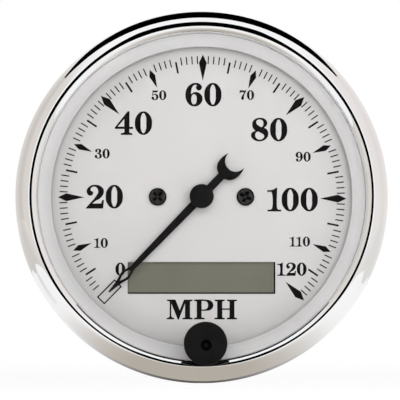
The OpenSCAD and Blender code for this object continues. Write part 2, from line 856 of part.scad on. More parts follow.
module reset_knob() {
    front = knob_z + knob_t;
    nub_r = dimple_r * 0.35;
    color("black") placed() translate([reset_x, -reset_drop, 0]) difference() {
        union() {
            rod(knob_d / 2, knob_z, front - knob_round);
            rod(knob_d / 2 - knob_round, front - knob_round, front);
            translate([0, 0, front - knob_round]) rotate_extrude()
                translate([knob_d / 2 - knob_round, 0]) intersection() {
                    circle(r = knob_round);
                    square(knob_round);
                }
        }
        rod(rod_r, knob_z - past, rod_top);
        ring(nub_r, dimple_r, front - dimple_h, front + past);
        rod(dimple_r, front - dimple_h / 3, front + past);
    }
}

// One unbroken wire, six sides round and eight rings to each turn, with its rings worked out by angle
module reset_spring() {
    sides = 6;
    steps = 8;
    low = spring_end + wire_r;
    high = collar_end - stop_gap - wire_r;
    pitch = (high - low) / spring_turns;
    last = spring_turns * steps;
    points = [
        for (i = [0:last], k = [0:sides - 1])
            let (turn = 360 * i / steps, around = 360 * k / sides, r = spring_r + wire_r * cos(around))
                [r * cos(turn), r * sin(turn), low + pitch * i / steps + wire_r * sin(around)]
    ];
    walls = [
        for (i = [0:last - 1], k = [0:sides - 1])
            let (a = i * sides + k, b = i * sides + (k + 1) % sides)
                each [[a, b, a + sides], [b, b + sides, a + sides]]
    ];
    caps = [
        for (k = [1:sides - 2])
            each [[0, k + 1, k], [last * sides, last * sides + k, last * sides + k + 1]]
    ];
    echo(least_gap_between_turns = pitch - 2 * wire_r);
    color("silver") placed() translate([reset_x, -reset_drop, 0])
        polyhedron(points = points, faces = concat(walls, caps));
}

module guide_bush() {
    color("whitesmoke") placed() translate([reset_x, -reset_drop, 0]) difference() {
        union() {
            rod(bush_r, bush_end, dial_face + bush_rim_t);
            rod(bush_r + bush_rim, dial_back - bush_rim_t, dial_back);
            rod(bush_r + bush_rim, dial_face, dial_face + bush_rim_t);
        }
        rod(bush_bore_r, bush_end - past, dial_face + bush_rim_t + past);
    }
}

module lens_grommet() {
    color("black") placed() translate([reset_x, -reset_drop, 0]) difference() {
        union() {
            rod(grommet_r, ring_top - grommet_rim_t, lens_top + grommet_rim_t);
            rod(grommet_r + grommet_rim, ring_top - grommet_rim_t, ring_top);
            rod(grommet_r + grommet_rim, lens_top, lens_top + grommet_rim_t);
        }
        rod(rod_r + rod_play, ring_top - grommet_rim_t - past, lens_top + grommet_rim_t + past);
    }
}

module light_shroud() {
    color("white") placed() difference() {
        union() {
            ring(shroud_in_r, shroud_r, board_back - shroud_tail, dial_back);
            ring(shroud_in_r, stack_r, shroud_z, dial_back);
            intersection() {
                boss_places() rod(boss_r, board_front, board_front + boss_h);
                rod(shroud_r, board_front, board_front + boss_h);
            }
        }
        boss_places() rod(screw_hole_r, board_front - past, board_front + boss_screw + pin_play);
    }
}

module case() {
    color("lightgray") placed() difference() {
        union() {
            rotate_extrude() case_section(barrel_r, case_back, case_corner, 0);
            cylinder(r1 = barrel_r, r2 = barrel_r + neck_flare, h = shroud_z);
            rod(stack_r, flange_z, shroud_z);
        }
        rotate_extrude() case_section(case_in_r, case_floor, case_corner - case_wall, shroud_z + past);
        pair(stud_spread / 2) rod(stud_r + stud_play, case_back - past, case_floor + past);
        translate([0, -block_drop, 0])
            block(block_w + 2 * block_play, block_h + 2 * block_play, case_back - past, case_floor + past);
        translate([0, lamp_rise, 0]) {
            rod(lamp_hole_r, case_back - past, case_floor + past);
            rotate([0, 0, -lamp_turn])
                lugs(lamp_neck_r + lamp_lug + lamp_play, lug_angle + 4, case_back - past, case_floor + past);
        }
    }
}

// Half section of a cup with a rounded bottom corner
module case_section(r, low, corner, high) {
    square_h = high - low;
    difference() {
        translate([0, low]) square([r, square_h]);
        translate([r - corner, low]) difference() {
            translate([0, -past]) square([corner + past, corner + past]);
            translate([0, corner]) circle(r = corner);
        }
    }
}

// Two opposite sectors, left and right
module lugs(r, angle, low, high) {
    reach = 2 * r;
    half = angle / 2;
    for (turn = [0, 180]) rotate([0, 0, turn]) intersection() {
        rod(r, low, high);
        translate([0, 0, low]) linear_extrude(high - low)
            polygon([[0, 0], [reach * cos(half), -reach * sin(half)], [reach * cos(half), reach * sin(half)]]);
    }
}

module lamp_socket() {
    lug_low = case_floor + lug_gap;
    color("darkslategray") placed() translate([0, lamp_rise, 0]) difference() {
        union() {
            rod(lamp_rim_r, case_back - lamp_rim_t, case_back);
            rod(lamp_neck_r, case_back, lamp_neck_top);
            lugs(lamp_neck_r + lamp_lug, lug_angle, lug_low, lug_low + lamp_lug_t);
            block(lamp_grip_w, lamp_grip_t, lamp_grip_end, case_back - lamp_rim_t);
        }
        block(bulb_base_w + 2 * pin_play, bulb_base_t + 2 * pin_play, bulb_seat_z - pin_play, lamp_neck_top + past);
        pair(lamp_grip_w / 4) lamp_blade_shape(pin_play, lamp_grip_end - past, bulb_seat_z);
    }
}

module lamp_bulb() {
    tip = lamp_neck_top + bulb_len;
    dome_r = 1.2 * bulb_r;
    color("lightyellow", 0.5) placed() translate([0, lamp_rise, 0]) union() {
        block(bulb_base_w, bulb_base_t, bulb_seat_z, lamp_neck_top + bulb_r / 2);
        intersection() {
            rod(bulb_r, lamp_neck_top, tip);
            translate([0, 0, tip - dome_r]) sphere(r = dome_r);
        }
        rod(bulb_r, lamp_neck_top, tip - bulb_r);
    }
}

// Blade of the lamp holder, grown all round by a given play
module lamp_blade_shape(play, low, high) {
    block(tab_t + 2 * play, lamp_blade_w + 2 * play, low, high);
}

module lamp_contacts() {
    color("gold") placed() translate([0, lamp_rise, 0]) pair(lamp_grip_w / 4)
        lamp_blade_shape(0, lamp_grip_end - tab_len * 0.7, bulb_seat_z - pin_play);
}

module blade_slots(low, high) {
    for (x = tab_xs) translate([x, 0, 0]) block(tab_t + 2 * pin_play, blade_w + 2 * pin_play, low, high);
}

module terminal_block() {
    color("darkslategray") placed() translate([0, -block_drop, 0]) difference() {
        block(block_w, block_h, block_end, board_back);
        blade_slots(block_end - past, board_back + past);
    }
}

module blade_terminals() {
    color("gold") placed() translate([0, -block_drop, 0]) for (x = tab_xs)
        translate([x, 0, 0]) block(tab_t, blade_w, block_end - tab_len, board_front);
}

module mounting_studs() {
    color("silver") placed() pair(stud_spread / 2) union() {
        rod(stud_head_r, case_floor, case_floor + stud_head_t);
        rod(stud_pitch_r, nut_end, case_floor);
        rod(stud_r, case_back - stud_len, nut_end);
    }
}

module stud_washers() {
    color("silver") placed() pair(stud_spread / 2)
        ring(stud_r + stud_play, washer_r, nut_top, case_back);
}

module stud_nuts() {
    color("silver") placed() pair(stud_spread / 2) difference() {
        translate([0, 0, nut_end]) cylinder(d = nut_af / cos(30), h = nut_t, $fn = 6);
        rod(stud_pitch_r + stud_play, nut_end - past, nut_top + past);
    }
}

bezel();
lens();
lens_gasket();
reflector_ring();
dial_plate();
dial_screws();
pointer_blade();
pointer_hub();
pointer_shaft();
rotor_magnet();
front_bearing();
rear_bearing();
movement_plate();
bobbin_front();
bobbin_rear();
sine_coil();
cosine_coil();
shield_can();
movement_screws();
movement_pins();
lcd_panel();
lcd_diffuser();
lcd_holder();
contact_strips();
lcd_board();
lcd_screws();
link_pins();
main_board();
board_screws();
microcontroller();
voltage_regulator();
capacitors();
crystal();
trip_switch();
switch_plunger();
reset_rod();
reset_knob();
reset_spring();
guide_bush();
lens_grommet();
light_shroud();
case();
lamp_socket();
lamp_bulb();
lamp_contacts();
terminal_block();
blade_terminals();
mounting_studs();
stud_washers();
stud_nuts();
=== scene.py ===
import bmesh
import bpy
import json
import math
from mathutils import Matrix, Vector


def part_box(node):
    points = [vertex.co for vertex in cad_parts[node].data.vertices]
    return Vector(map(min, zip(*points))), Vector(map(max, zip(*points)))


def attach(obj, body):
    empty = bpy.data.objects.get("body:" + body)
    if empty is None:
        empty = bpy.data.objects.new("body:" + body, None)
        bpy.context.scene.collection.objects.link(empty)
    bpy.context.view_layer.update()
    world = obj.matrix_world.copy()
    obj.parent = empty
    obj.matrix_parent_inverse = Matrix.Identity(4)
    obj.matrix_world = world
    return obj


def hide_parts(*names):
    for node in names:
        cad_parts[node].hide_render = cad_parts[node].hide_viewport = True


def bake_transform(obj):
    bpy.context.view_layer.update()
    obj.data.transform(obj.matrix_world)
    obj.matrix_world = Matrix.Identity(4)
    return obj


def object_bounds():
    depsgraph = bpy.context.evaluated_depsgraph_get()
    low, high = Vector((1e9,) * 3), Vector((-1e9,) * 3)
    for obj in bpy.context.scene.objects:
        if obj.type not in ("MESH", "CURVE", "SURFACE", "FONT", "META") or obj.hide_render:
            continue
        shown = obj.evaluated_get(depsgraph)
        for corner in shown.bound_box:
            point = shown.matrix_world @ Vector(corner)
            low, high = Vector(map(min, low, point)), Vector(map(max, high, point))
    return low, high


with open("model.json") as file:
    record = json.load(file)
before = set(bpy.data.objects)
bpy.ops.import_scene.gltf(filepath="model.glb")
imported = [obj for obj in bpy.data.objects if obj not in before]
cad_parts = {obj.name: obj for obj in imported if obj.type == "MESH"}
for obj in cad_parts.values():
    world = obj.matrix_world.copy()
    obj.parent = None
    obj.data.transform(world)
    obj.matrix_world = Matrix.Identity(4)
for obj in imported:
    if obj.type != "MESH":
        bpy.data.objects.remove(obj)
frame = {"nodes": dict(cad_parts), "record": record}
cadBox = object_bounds()
print("frame loaded,", len(frame["nodes"]), "nodes")

mm = 0.001
# pieces are drawn face up in mm (x right, y up the dial, z out of it) and turned to the frame at the end
dialTurn = Matrix(((mm, 0, 0, 0), (0, 0, -mm, 0), (0, mm, 0, 0), (0, 0, 0, 1)))


def frontOf(node):
    return -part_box(node)[0].y / mm


def backOf(node):
    return -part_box(node)[1].y / mm


def middleOf(node):
    low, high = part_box(node)
    return (low.x + high.x) / 2 / mm, (low.z + high.z) / 2 / mm


def spreadOf(node):
    low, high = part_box(node)
    return (high.x - low.x) / mm, (high.z - low.z) / mm


def endsOf(node):
    return backOf(node), frontOf(node)


# radius, back and front of a round node
def sizesOf(node):
    return spreadOf(node)[0] / 2, *endsOf(node)


def addObject(name, data):
    thing = bpy.data.objects.new(name, data)
    bpy.context.collection.objects.link(thing)
    return thing


# puts a camera or a lamp at a place, turned to the frame's origin
def lookInFrom(thing, place):
    thing.location = place
    thing.rotation_euler = (-Vector(place)).to_track_quat("-Z", "Y").to_euler()


# camera, set from the outline, the dial and the knob in the photo
shot = {"azimuth": -0.65, "elevation": -3.9, "distance": 0.5, "lens": 192.7, "sensor": 36, "clipStart": 0.01,
        "framePixels": 400, "aimPixel": (201.3, 198.5)}


def makeCamera(azimuth, elevation, distance, lens, sensor, clipStart, framePixels, aimPixel):
    data = bpy.data.cameras.new("shotCamera")
    data.sensor_width, data.lens, data.clip_start = sensor, lens, clipStart
    data.shift_x = 0.5 - aimPixel[0] / framePixels
    data.shift_y = aimPixel[1] / framePixels - 0.5
    camera = addObject("shotCamera", data)
    turn, climb = math.radians(azimuth), math.radians(elevation)
    fromAim = Vector((math.sin(turn) * math.cos(climb), -math.cos(turn) * math.cos(climb), math.sin(climb)))
    lookInFrom(camera, fromAim * distance)
    bpy.context.scene.camera = camera
    bpy.context.scene.view_settings.view_transform = "Standard"


makeCamera(**shot)
print("camera set")


# shader helpers: an underscore in a socket's name stands for a space

def fill(node, sockets):
    for label, value in sockets.items():
        node.inputs[label.replace("_", " ")].default_value = value
    return node


def addNode(tree, kind, operation=None, **sockets):
    node = tree.nodes.new("ShaderNode" + kind)
    if operation:
        node.operation = operation
    return fill(node, sockets)


# its colours go in at 6 and 7 and come out at 2
def addBlend(tree):
    blend = addNode(tree, "Mix")
    blend.data_type = "RGBA"
    return blend


def placeGroup(tree, group, **sockets):
    node = addNode(tree, "Group")
    node.node_tree = group
    return fill(node, sockets)


# joins nodes, each join given as a node, its output, the next node and its input
def link(tree, *joins):
    for start, output, end, entry in joins:
        tree.links.new(start.outputs[output], end.inputs[entry])


def startMaterial(name):
    material = bpy.data.materials.new(name)
    material.use_nodes = True
    tree = material.node_tree
    return material, tree, tree.nodes["Principled BSDF"]


# shows the first shader, and the second by a share
def mixSurface(tree, share, first, second):
    mix = addNode(tree, "MixShader")
    for start, entry in zip((share, first.outputs[0], second.outputs[0]), mix.inputs):
        tree.links.new(start, entry)
    link(tree, (mix, "Shader", tree.nodes["Material Output"], "Surface"))


number, colour, vector = "NodeSocketFloat", "NodeSocketColor", "NodeSocketVector"
midGrey = (0.5, 0.5, 0.5, 1)


# a group on the object's own coordinates, with one output and with inputs given as kind and value
def startGroup(name, output, outputKind, **inputs):
    group = bpy.data.node_groups.new(name, "ShaderNodeTree")
    for label, (kind, value) in inputs.items():
        socket = group.interface.new_socket(name=label.replace("_", " "), in_out="INPUT", socket_type=kind)
        socket.default_value = value
    group.interface.new_socket(name=output, in_out="OUTPUT", socket_type=outputKind)
    ends = group.nodes.new("NodeGroupInput"), group.nodes.new("NodeGroupOutput")
    return group, addNode(group, "TexCoord"), *ends


# two close tones drifting into each other
toneDrift, place, given, made = startGroup("toneDrift", "Colour", colour, Tone=(colour, midGrey),
                                           Other_Tone=(colour, midGrey), Scale=(number, 60))
cloud = addNode(toneDrift, "TexNoise", Detail=3.0, Roughness=0.6)
spread = addNode(toneDrift, "MapRange", From_Min=0.35, From_Max=0.65)
blend = addBlend(toneDrift)
link(toneDrift, (place, "Object", cloud, "Vector"), (given, "Scale", cloud, "Scale"),
     (cloud, "Fac", spread, "Value"), (spread, "Result", blend, "Factor"), (given, "Tone", blend, 6),
     (given, "Other Tone", blend, 7), (blend, 2, made, "Colour"))

# gloss that comes and goes between two roughness values
glossDrift, place, given, made = startGroup("glossDrift", "Roughness", number, Smooth=(number, 0.2),
                                            Rough=(number, 0.4), Scale=(number, 300))
cloud = addNode(glossDrift, "TexNoise", Detail=4.0, Roughness=0.55)
spread = addNode(glossDrift, "MapRange", From_Min=0.3, From_Max=0.7)
link(glossDrift, (place, "Object", cloud, "Vector"), (given, "Scale", cloud, "Scale"),
     (cloud, "Fac", spread, "Value"), (given, "Smooth", spread, "To Min"),
     (given, "Rough", spread, "To Max"), (spread, "Result", made, "Roughness"))

# fine surface grain, drawn out along one axis by Stretch for brushed or drawn metal
surfaceGrain, place, given, made = startGroup("surfaceGrain", "Height", number, Scale=(number, 3000),
                                              Stretch=(vector, (1, 1, 1)))
stretched = addNode(surfaceGrain, "Mapping")
cloud = addNode(surfaceGrain, "TexNoise", Detail=2.0, Roughness=0.5)
link(surfaceGrain, (place, "Object", stretched, "Vector"), (given, "Stretch", stretched, "Scale"),
     (stretched, "Vector", cloud, "Vector"), (given, "Scale", cloud, "Scale"), (cloud, "Fac", made, "Height"))

# even lines across one axis, for wound wire, pressed strip and board tracks
evenLines, place, given, made = startGroup("evenLines", "Height", number, Across=(vector, (0, 1, 0)),
                                           Scale=(number, 2000), Wander=(number, 0.0))
onto = addNode(evenLines, "VectorMath", "MULTIPLY")
bands = addNode(evenLines, "TexWave", Detail=1.0, Detail_Scale=2.0)
bands.bands_direction = "DIAGONAL"
link(evenLines, (place, "Object", onto, 0), (given, "Across", onto, 1), (onto, "Vector", bands, "Vector"),
     (given, "Scale", bands, "Scale"), (given, "Wander", bands, "Distortion"), (bands, "Fac", made, "Height"))

# painted light and shade: a tone made stronger or weaker from one distance off the dial's axis to another,
# and towards the dial's top, standing in for how light falls near the rim
paintedRimLighting, place, given, made = startGroup("paintedRimLighting", "Colour", colour, Colour=(colour, midGrey),
                                         Inner=(number, 0.01), Outer=(number, 0.02), Lift=(number, 1.0),
                                         Top_Lift=(number, 1.0))
onto = addNode(paintedRimLighting, "VectorMath", "MULTIPLY")
onto.inputs[1].default_value = (1, 0, 1)
away = addNode(paintedRimLighting, "VectorMath", "LENGTH")
spread = addNode(paintedRimLighting, "MapRange", To_Min=1.0)
height = addNode(paintedRimLighting, "SeparateXYZ")
climb = addNode(paintedRimLighting, "MapRange", To_Min=1.0)
both = addNode(paintedRimLighting, "Math", "MULTIPLY")
raised = addNode(paintedRimLighting, "VectorMath", "SCALE")
link(paintedRimLighting, (place, "Object", onto, 0), (onto, "Vector", away, 0), (away, "Value", spread, "Value"),
     (given, "Inner", spread, "From Min"), (given, "Outer", spread, "From Max"),
     (given, "Lift", spread, "To Max"), (place, "Object", height, "Vector"), (height, "Z", climb, "Value"),
     (given, "Outer", climb, "From Max"), (given, "Top Lift", climb, "To Max"),
     (spread, "Result", both, 0), (climb, "Result", both, 1), (given, "Colour", raised, 0),
     (both, 0, raised, "Scale"), (raised, "Vector", made, "Colour"))


# a single number stands for a grey
def opaque(tone):
    return (*tone, 1) if isinstance(tone, tuple) else (tone, tone, tone, 1)


bumpStrength, coatRoughness = 0.5, 0.08


def makeFinish(name, tone, otherTone, gloss, toneScale=60, grain=3000, stretch=(1, 1, 1), depth=2e-6, metal=0,
               specular=0.5, coat=0, lines=None, rim=None):
    material, tree, shader = startMaterial(name)
    shade = placeGroup(tree, toneDrift, Tone=opaque(tone), Other_Tone=opaque(otherTone), Scale=toneScale)
    sheen = placeGroup(tree, glossDrift, Smooth=gloss[0], Rough=gloss[1])
    # rim paints light or shade into the tone, by distance from the dial's axis and by height
    if rim:
        plain = shade
        shade = placeGroup(tree, paintedRimLighting, **dict(zip(("Inner", "Outer", "Lift", "Top_Lift"), rim)))
        link(tree, (plain, "Colour", shade, "Colour"))
    fill(shader, {"Metallic": metal, "Specular IOR Level": specular, "Coat Weight": coat,
                  "Coat Roughness": coatRoughness})
    bump = addNode(tree, "Bump", Strength=bumpStrength, Distance=depth)
    if lines:
        relief = placeGroup(tree, evenLines, **dict(zip(("Across", "Scale", "Wander"), lines)))
    else:
        relief = placeGroup(tree, surfaceGrain, Scale=grain, Stretch=stretch)
    link(tree, (shade, "Colour", shader, "Base Color"), (sheen, "Roughness", shader, "Roughness"),
         (relief, "Height", bump, "Height"), (bump, "Normal", shader, "Normal"))
    return material


# clear to shadow and diffuse rays, so that light reaches what lies behind the glass
def makeGlass(name, tone, ior, gloss, glossScale):
    material, tree, shader = startMaterial(name)
    fill(shader, {"Base Color": opaque(tone), "Transmission Weight": 1, "IOR": ior})
    sheen = placeGroup(tree, glossDrift, Smooth=gloss[0], Rough=gloss[1], Scale=glossScale)
    clear, rays = addNode(tree, "BsdfTransparent"), addNode(tree, "LightPath")
    either = addNode(tree, "Math", "MAXIMUM")
    link(tree, (sheen, "Roughness", shader, "Roughness"), (rays, "Is Shadow Ray", either, 0),
         (rays, "Is Diffuse Ray", either, 1))
    mixSurface(tree, either.outputs[0], shader, clear)
    return material


# finishes, most of them by record slot: two linear tones, the range of roughness, and what differs from the
# plain finish; grain and line scales are per metre, depth is in metres
finishLooks = {
    "chrome": ((0.93, 0.93, 0.94), (0.9, 0.9, 0.91), (0.015, 0.05), dict(metal=1, grain=900, depth=4e-7)),
    "seal_rubber": ((0.022, 0.022, 0.023), (0.032, 0.031, 0.03), (0.6, 0.8),
                    dict(grain=6000, depth=8e-6, specular=0.25)),
    # painted light: the ring's tone is made brighter towards its outer edge and towards the top, against the
    # shade of the bezel lip there
    "ring_grey": ((0.65, 0.637, 0.635), (0.62, 0.61, 0.612), (0.35, 0.5),
                  dict(grain=4000, depth=3e-6, rim=(0.0352, 0.0376, 1.25, 1.02))),
    # painted shadow line on the ring's face next to its wall
    "ring_shadow_line": ((0.5, 0.49, 0.485), (0.52, 0.51, 0.505), (0.5, 0.65),
                  dict(grain=5000, depth=3e-6, specular=0.2)),
    # a darker grey under the ring's lip, painted shade that deepens the gap there
    "ring_shaded_underside": (0.2, 0.22, (0.5, 0.65), dict(grain=5000, depth=4e-6, specular=0.2)),
    # painted shade: the dial's tone darkens towards the ring, as a contact shadow
    "dial_silver": ((0.72, 0.7, 0.695), (0.685, 0.67, 0.665), (0.46, 0.54),
                    dict(toneScale=45, grain=7000, depth=1.2e-6, specular=0.25,
                         rim=(0.0285, 0.0348, 0.86, 1.0))),
    "ink": ((0.005, 0.0042, 0.0045), (0.007, 0.006, 0.0064), (0.5, 0.65),
            dict(toneScale=300, grain=7000, specular=0.1)),
    "screw_black": ((0.026, 0.0255, 0.025), (0.042, 0.041, 0.04), (0.3, 0.45),
                    dict(toneScale=500, metal=0.4, grain=5000, depth=3e-6)),
    # painted shade for the screw heads' rims and pits
    "screw_painted_shade": (0.003, 0.005, (0.5, 0.65), dict(toneScale=500, grain=5000, specular=0.1)),
    "pointer_black": ((0.0065, 0.0055, 0.006), (0.009, 0.008, 0.0085), (0.4, 0.52),
                      dict(toneScale=200, grain=7000, depth=3e-6, specular=0.12)),
    "hub_black": ((0.007, 0.006, 0.0065), (0.0095, 0.0085, 0.009), (0.45, 0.6),
                  dict(toneScale=300, grain=6000, depth=5e-6, specular=0.15)),
    "steel": (0.62, (0.56, 0.56, 0.57), (0.22, 0.36),
              dict(metal=1, grain=4000, stretch=(1, 0.06, 1), depth=3e-6)),
    "magnet_grey": ((0.11, 0.11, 0.12), (0.15, 0.15, 0.16), (0.45, 0.65),
                    dict(toneScale=900, metal=0.6, grain=5000, depth=1e-5)),
    "brass": ((0.74, 0.55, 0.22), (0.6, 0.43, 0.17), (0.2, 0.38),
              dict(toneScale=160, metal=1, stretch=(1, 0.1, 1), depth=3e-6)),
    "plate_alloy": ((0.7, 0.7, 0.71), (0.63, 0.63, 0.65), (0.3, 0.45),
                    dict(metal=1, stretch=(0.05, 1, 1), depth=4e-6)),
    "former_ivory": ((0.74, 0.69, 0.57), (0.68, 0.63, 0.5), (0.4, 0.55), dict(grain=3500, depth=6e-6)),
    "copper_winding": ((0.6, 0.24, 0.1), (0.45, 0.16, 0.06), (0.25, 0.4),
                       dict(toneScale=700, metal=0.85, depth=4e-5, lines=((0, 1, 0), 1200, 0.4))),
    "lcd_glass": ((0.196, 0.194, 0.148), (0.185, 0.183, 0.142), (0.34, 0.38),
                  dict(toneScale=90, grain=9000, depth=6e-7, specular=0.2)),
    "white_plastic": ((0.82, 0.82, 0.8), (0.77, 0.77, 0.74), (0.4, 0.55), dict(grain=3500, depth=6e-6)),
    "strip_rubber": ((0.1, 0.1, 0.11), (0.16, 0.16, 0.17), (0.6, 0.75),
                     dict(depth=2e-5, lines=((1, 0, 0), 1600, 0.0))),
    "board_green": ((0.02, 0.14, 0.05), (0.035, 0.19, 0.07), (0.2, 0.3),
                    dict(toneScale=400, depth=1.5e-5, coat=0.4, lines=((1, 0, 0.6), 260, 3.0))),
    "chip_black": ((0.018, 0.018, 0.02), (0.028, 0.028, 0.03), (0.5, 0.65), dict(grain=8000, depth=6e-6)),
    "cap_blue": ((0.02, 0.04, 0.15), (0.03, 0.055, 0.19), (0.18, 0.28), dict(grain=2500, coat=0.3)),
    "plunger_red": ((0.34, 0.03, 0.03), (0.4, 0.05, 0.045), (0.35, 0.5), dict(grain=4000, depth=4e-6)),
    "knob_black": (0.0045, 0.0065, (0.4, 0.55), dict(toneScale=300, grain=6000, depth=6e-6, specular=0.1)),
    # painted shade inside the knob's dimple
    "knob_pit_shade": (0.001, 0.002, (0.55, 0.7), dict(toneScale=300, grain=6000, depth=4e-6, specular=0.05)),
    "case_zinc": ((0.56, 0.57, 0.58), (0.48, 0.49, 0.5), (0.28, 0.44),
                  dict(toneScale=110, metal=1, grain=1500, stretch=(1, 0.05, 1), depth=5e-6)),
    "socket_black": ((0.022, 0.022, 0.024), (0.034, 0.034, 0.036), (0.42, 0.6), dict(grain=5000, depth=6e-6)),
    "zinc_steel": ((0.58, 0.56, 0.5), (0.5, 0.47, 0.4), (0.25, 0.4),
                   dict(toneScale=220, metal=1, grain=4000, depth=4e-6)),
}
# glass by record slot: tint, index of refraction, the range of roughness and its scale
glassLooks = {"lens_glass": (1, 1.45, (0.0, 0.012), 60),
              "bulb_glass": ((1, 0.98, 0.94), 1.45, (0.0, 0.03), 200)}
finishes = {name: makeFinish(name, *look[:3], **look[3]) for name, look in finishLooks.items()}
finishes.update({name: makeGlass(name, *look) for name, look in glassLooks.items()})
for entry in frame["record"]["subparts"]:
    nodeMesh = frame["nodes"][entry["node"]].data
    nodeMesh.materials.clear()
    nodeMesh.materials.append(finishes[entry["material_slot"]])
print("finishes made:", len(finishes))


# mesh helpers, all in mm
weldDistance = 0.0005


def arc(x, y, radius, start, end, steps):
    angles = [math.radians(start + (end - start) * step / steps) for step in range(steps + 1)]
    return [(x + radius * math.cos(angle), y + radius * math.sin(angle)) for angle in angles]


def boxRing(left, right, low, high):
    return [(left, low), (right, low), (right, high), (left, high)]


def joinRows(mesh, first, second):
    count = max(len(first), len(second))
    for step in range(count):
        after = (step + 1) % count
        corners = []
        for corner in (first[step % len(first)], first[after % len(first)],
                       second[after % len(second)], second[step % len(second)]):
            if corner not in corners:
                corners.append(corner)
        if len(corners) > 2:
            mesh.faces.new(corners)


# turns a profile of (radius, height) about an upright axis, its ends on the axis or joined to each other
def lathe(profile, segments, radiusAt=None, centre=(0, 0), mesh=None):
    mesh = bmesh.new() if mesh is None else mesh
    rows = []
    for index, (radius, height) in enumerate(profile):
        if radius < 1e-6:
            rows.append([mesh.verts.new((*centre, height))])
            continue
        row = []
        for step in range(segments):
            angle = 2 * math.pi * step / segments
            reach = radiusAt(index, angle, radius) if radiusAt else radius
            x, y = centre[0] + reach * math.cos(angle), centre[1] + reach * math.sin(angle)
            row.append(mesh.verts.new((x, y, height)))
        rows.append(row)
    for first, second in zip(rows, rows[1:]):
        joinRows(mesh, first, second)
    if len(rows[0]) > 1:
        joinRows(mesh, rows[-1], rows[0])
    return mesh


# a solid on an outline, straight or drawn out to another outline at its top
def prism(mesh, outline, low, high, upper=None):
    bottom = [mesh.verts.new((x, y, low)) for x, y in outline]
    top = [mesh.verts.new((x, y, high)) for x, y in upper or outline]
    mesh.faces.new(list(reversed(bottom)))
    mesh.faces.new(top)
    joinRows(mesh, bottom, top)


# rounded in a mesh of its own and then added to the mesh
def roundedBlock(mesh, size, centre, radius, segments=3):
    shape = Matrix.Translation(Vector(centre)) @ Matrix.Diagonal((*size, 1))
    block = bmesh.new()
    bmesh.ops.create_cube(block, size=1, matrix=shape)
    bmesh.ops.bevel(block, geom=block.edges[:], offset=radius, segments=segments, profile=0.5, affect="EDGES")
    pour(mesh, block)


def dataFrom(mesh, name):
    data = bpy.data.meshes.new(name)
    mesh.to_mesh(data)
    mesh.free()
    return data


def finishedMesh(holder):
    bpy.context.view_layer.update()
    data = bpy.data.meshes.new_from_object(holder.evaluated_get(bpy.context.evaluated_depsgraph_get()))
    mesh = bmesh.new()
    mesh.from_mesh(data)
    bpy.data.meshes.remove(data)
    return mesh


# plate from closed rings of knots: (x, y) is a corner, (x, y, 1) a smooth knot
def plateFromRings(rings, low, high, edgeRound=0.0, steps=6, weight=0.0):
    curve = bpy.data.curves.new("plateOutline", "CURVE")
    curve.dimensions = "2D"
    curve.fill_mode = "BOTH"
    curve.resolution_u = steps
    curve.extrude = (high - low) / 2 - edgeRound
    curve.bevel_depth = edgeRound
    curve.bevel_resolution = 2
    curve.offset = weight - edgeRound
    for knots in rings:
        spline = curve.splines.new("BEZIER")
        spline.bezier_points.add(len(knots) - 1)
        spline.use_cyclic_u = True
        for point, knot in zip(spline.bezier_points, knots):
            point.co = (knot[0], knot[1], 0)
            point.handle_left_type = point.handle_right_type = "AUTO" if len(knot) > 2 else "VECTOR"
    holder = addObject("plateOutline", curve)
    plate = finishedMesh(holder)
    bmesh.ops.remove_doubles(plate, verts=plate.verts, dist=weldDistance)
    bmesh.ops.translate(plate, verts=plate.verts, vec=(0, 0, (low + high) / 2))
    bpy.data.objects.remove(holder)
    bpy.data.curves.remove(curve)
    return plate


def turnMesh(mesh, degrees):
    bmesh.ops.rotate(mesh, verts=mesh.verts, matrix=Matrix.Rotation(math.radians(degrees), 3, "Z"))


# adds another mesh to a mesh
def pour(mesh, other, turn=Matrix.Identity(4)):
    bmesh.ops.transform(other, matrix=turn, verts=other.verts)
    loose = dataFrom(other, "poured")
    mesh.from_mesh(loose)
    bpy.data.meshes.remove(loose)


def holderFor(mesh, name):
    bmesh.ops.recalc_face_normals(mesh, faces=mesh.faces)
    return addObject(name, dataFrom(mesh, name))


def cutAway(mesh, cutters):
    body = holderFor(mesh, "cutBody")
    tools = [holderFor(cutter, "cutTool") for cutter in cutters]
    for tool in tools:
        cut = body.modifiers.new("cut", "BOOLEAN")
        cut.operation = "DIFFERENCE"
        cut.solver = "EXACT"
        cut.object = tool
    result = finishedMesh(body)
    bmesh.ops.dissolve_degenerate(result, dist=weldDistance, edges=result.edges)
    for holder in [body] + tools:
        bpy.data.objects.remove(holder)
    return result


# sets each face's finish by its distance from a centre and its height
def paintFaces(mesh, pick, centre=(0, 0)):
    for face in mesh.faces:
        spot = face.calc_center_median()
        face.material_index = int(pick(math.hypot(spot.x - centre[0], spot.y - centre[1]), spot.z))


def makePiece(name, mesh, slotName, body, replaced=(), smoothAngle=35, looks=None):
    bmesh.ops.recalc_face_normals(mesh, faces=mesh.faces)
    bmesh.ops.transform(mesh, matrix=dialTurn, verts=mesh.verts)
    data = dataFrom(mesh, name)
    for look in looks or [slotName]:
        data.materials.append(finishes[look])
    data.shade_smooth()
    data.set_sharp_from_angle(angle=math.radians(smoothAngle))
    piece = addObject(name, data)
    if body:
        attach(piece, body)
    if replaced:
        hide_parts(*replaced)
    return piece


def makePrint(name, mesh, slotName="dial_silver"):
    makePiece(name, mesh, slotName, "housing", looks=["ink"])


# bezel, spun from one section: outer shoulder, crest, inner lip that flattens towards its edge, seat for the
# glass and rolled rear edge
bezelForm = {"shoulder": 3.8, "lip": 1.36, "lipBend": 15, "lipEnd": 50, "rebate": 41.35, "rollThick": 0.9,
             "rollRadius": 39.77, "rollChamfer": 0.2, "backRound": 0.5, "segments": 288}


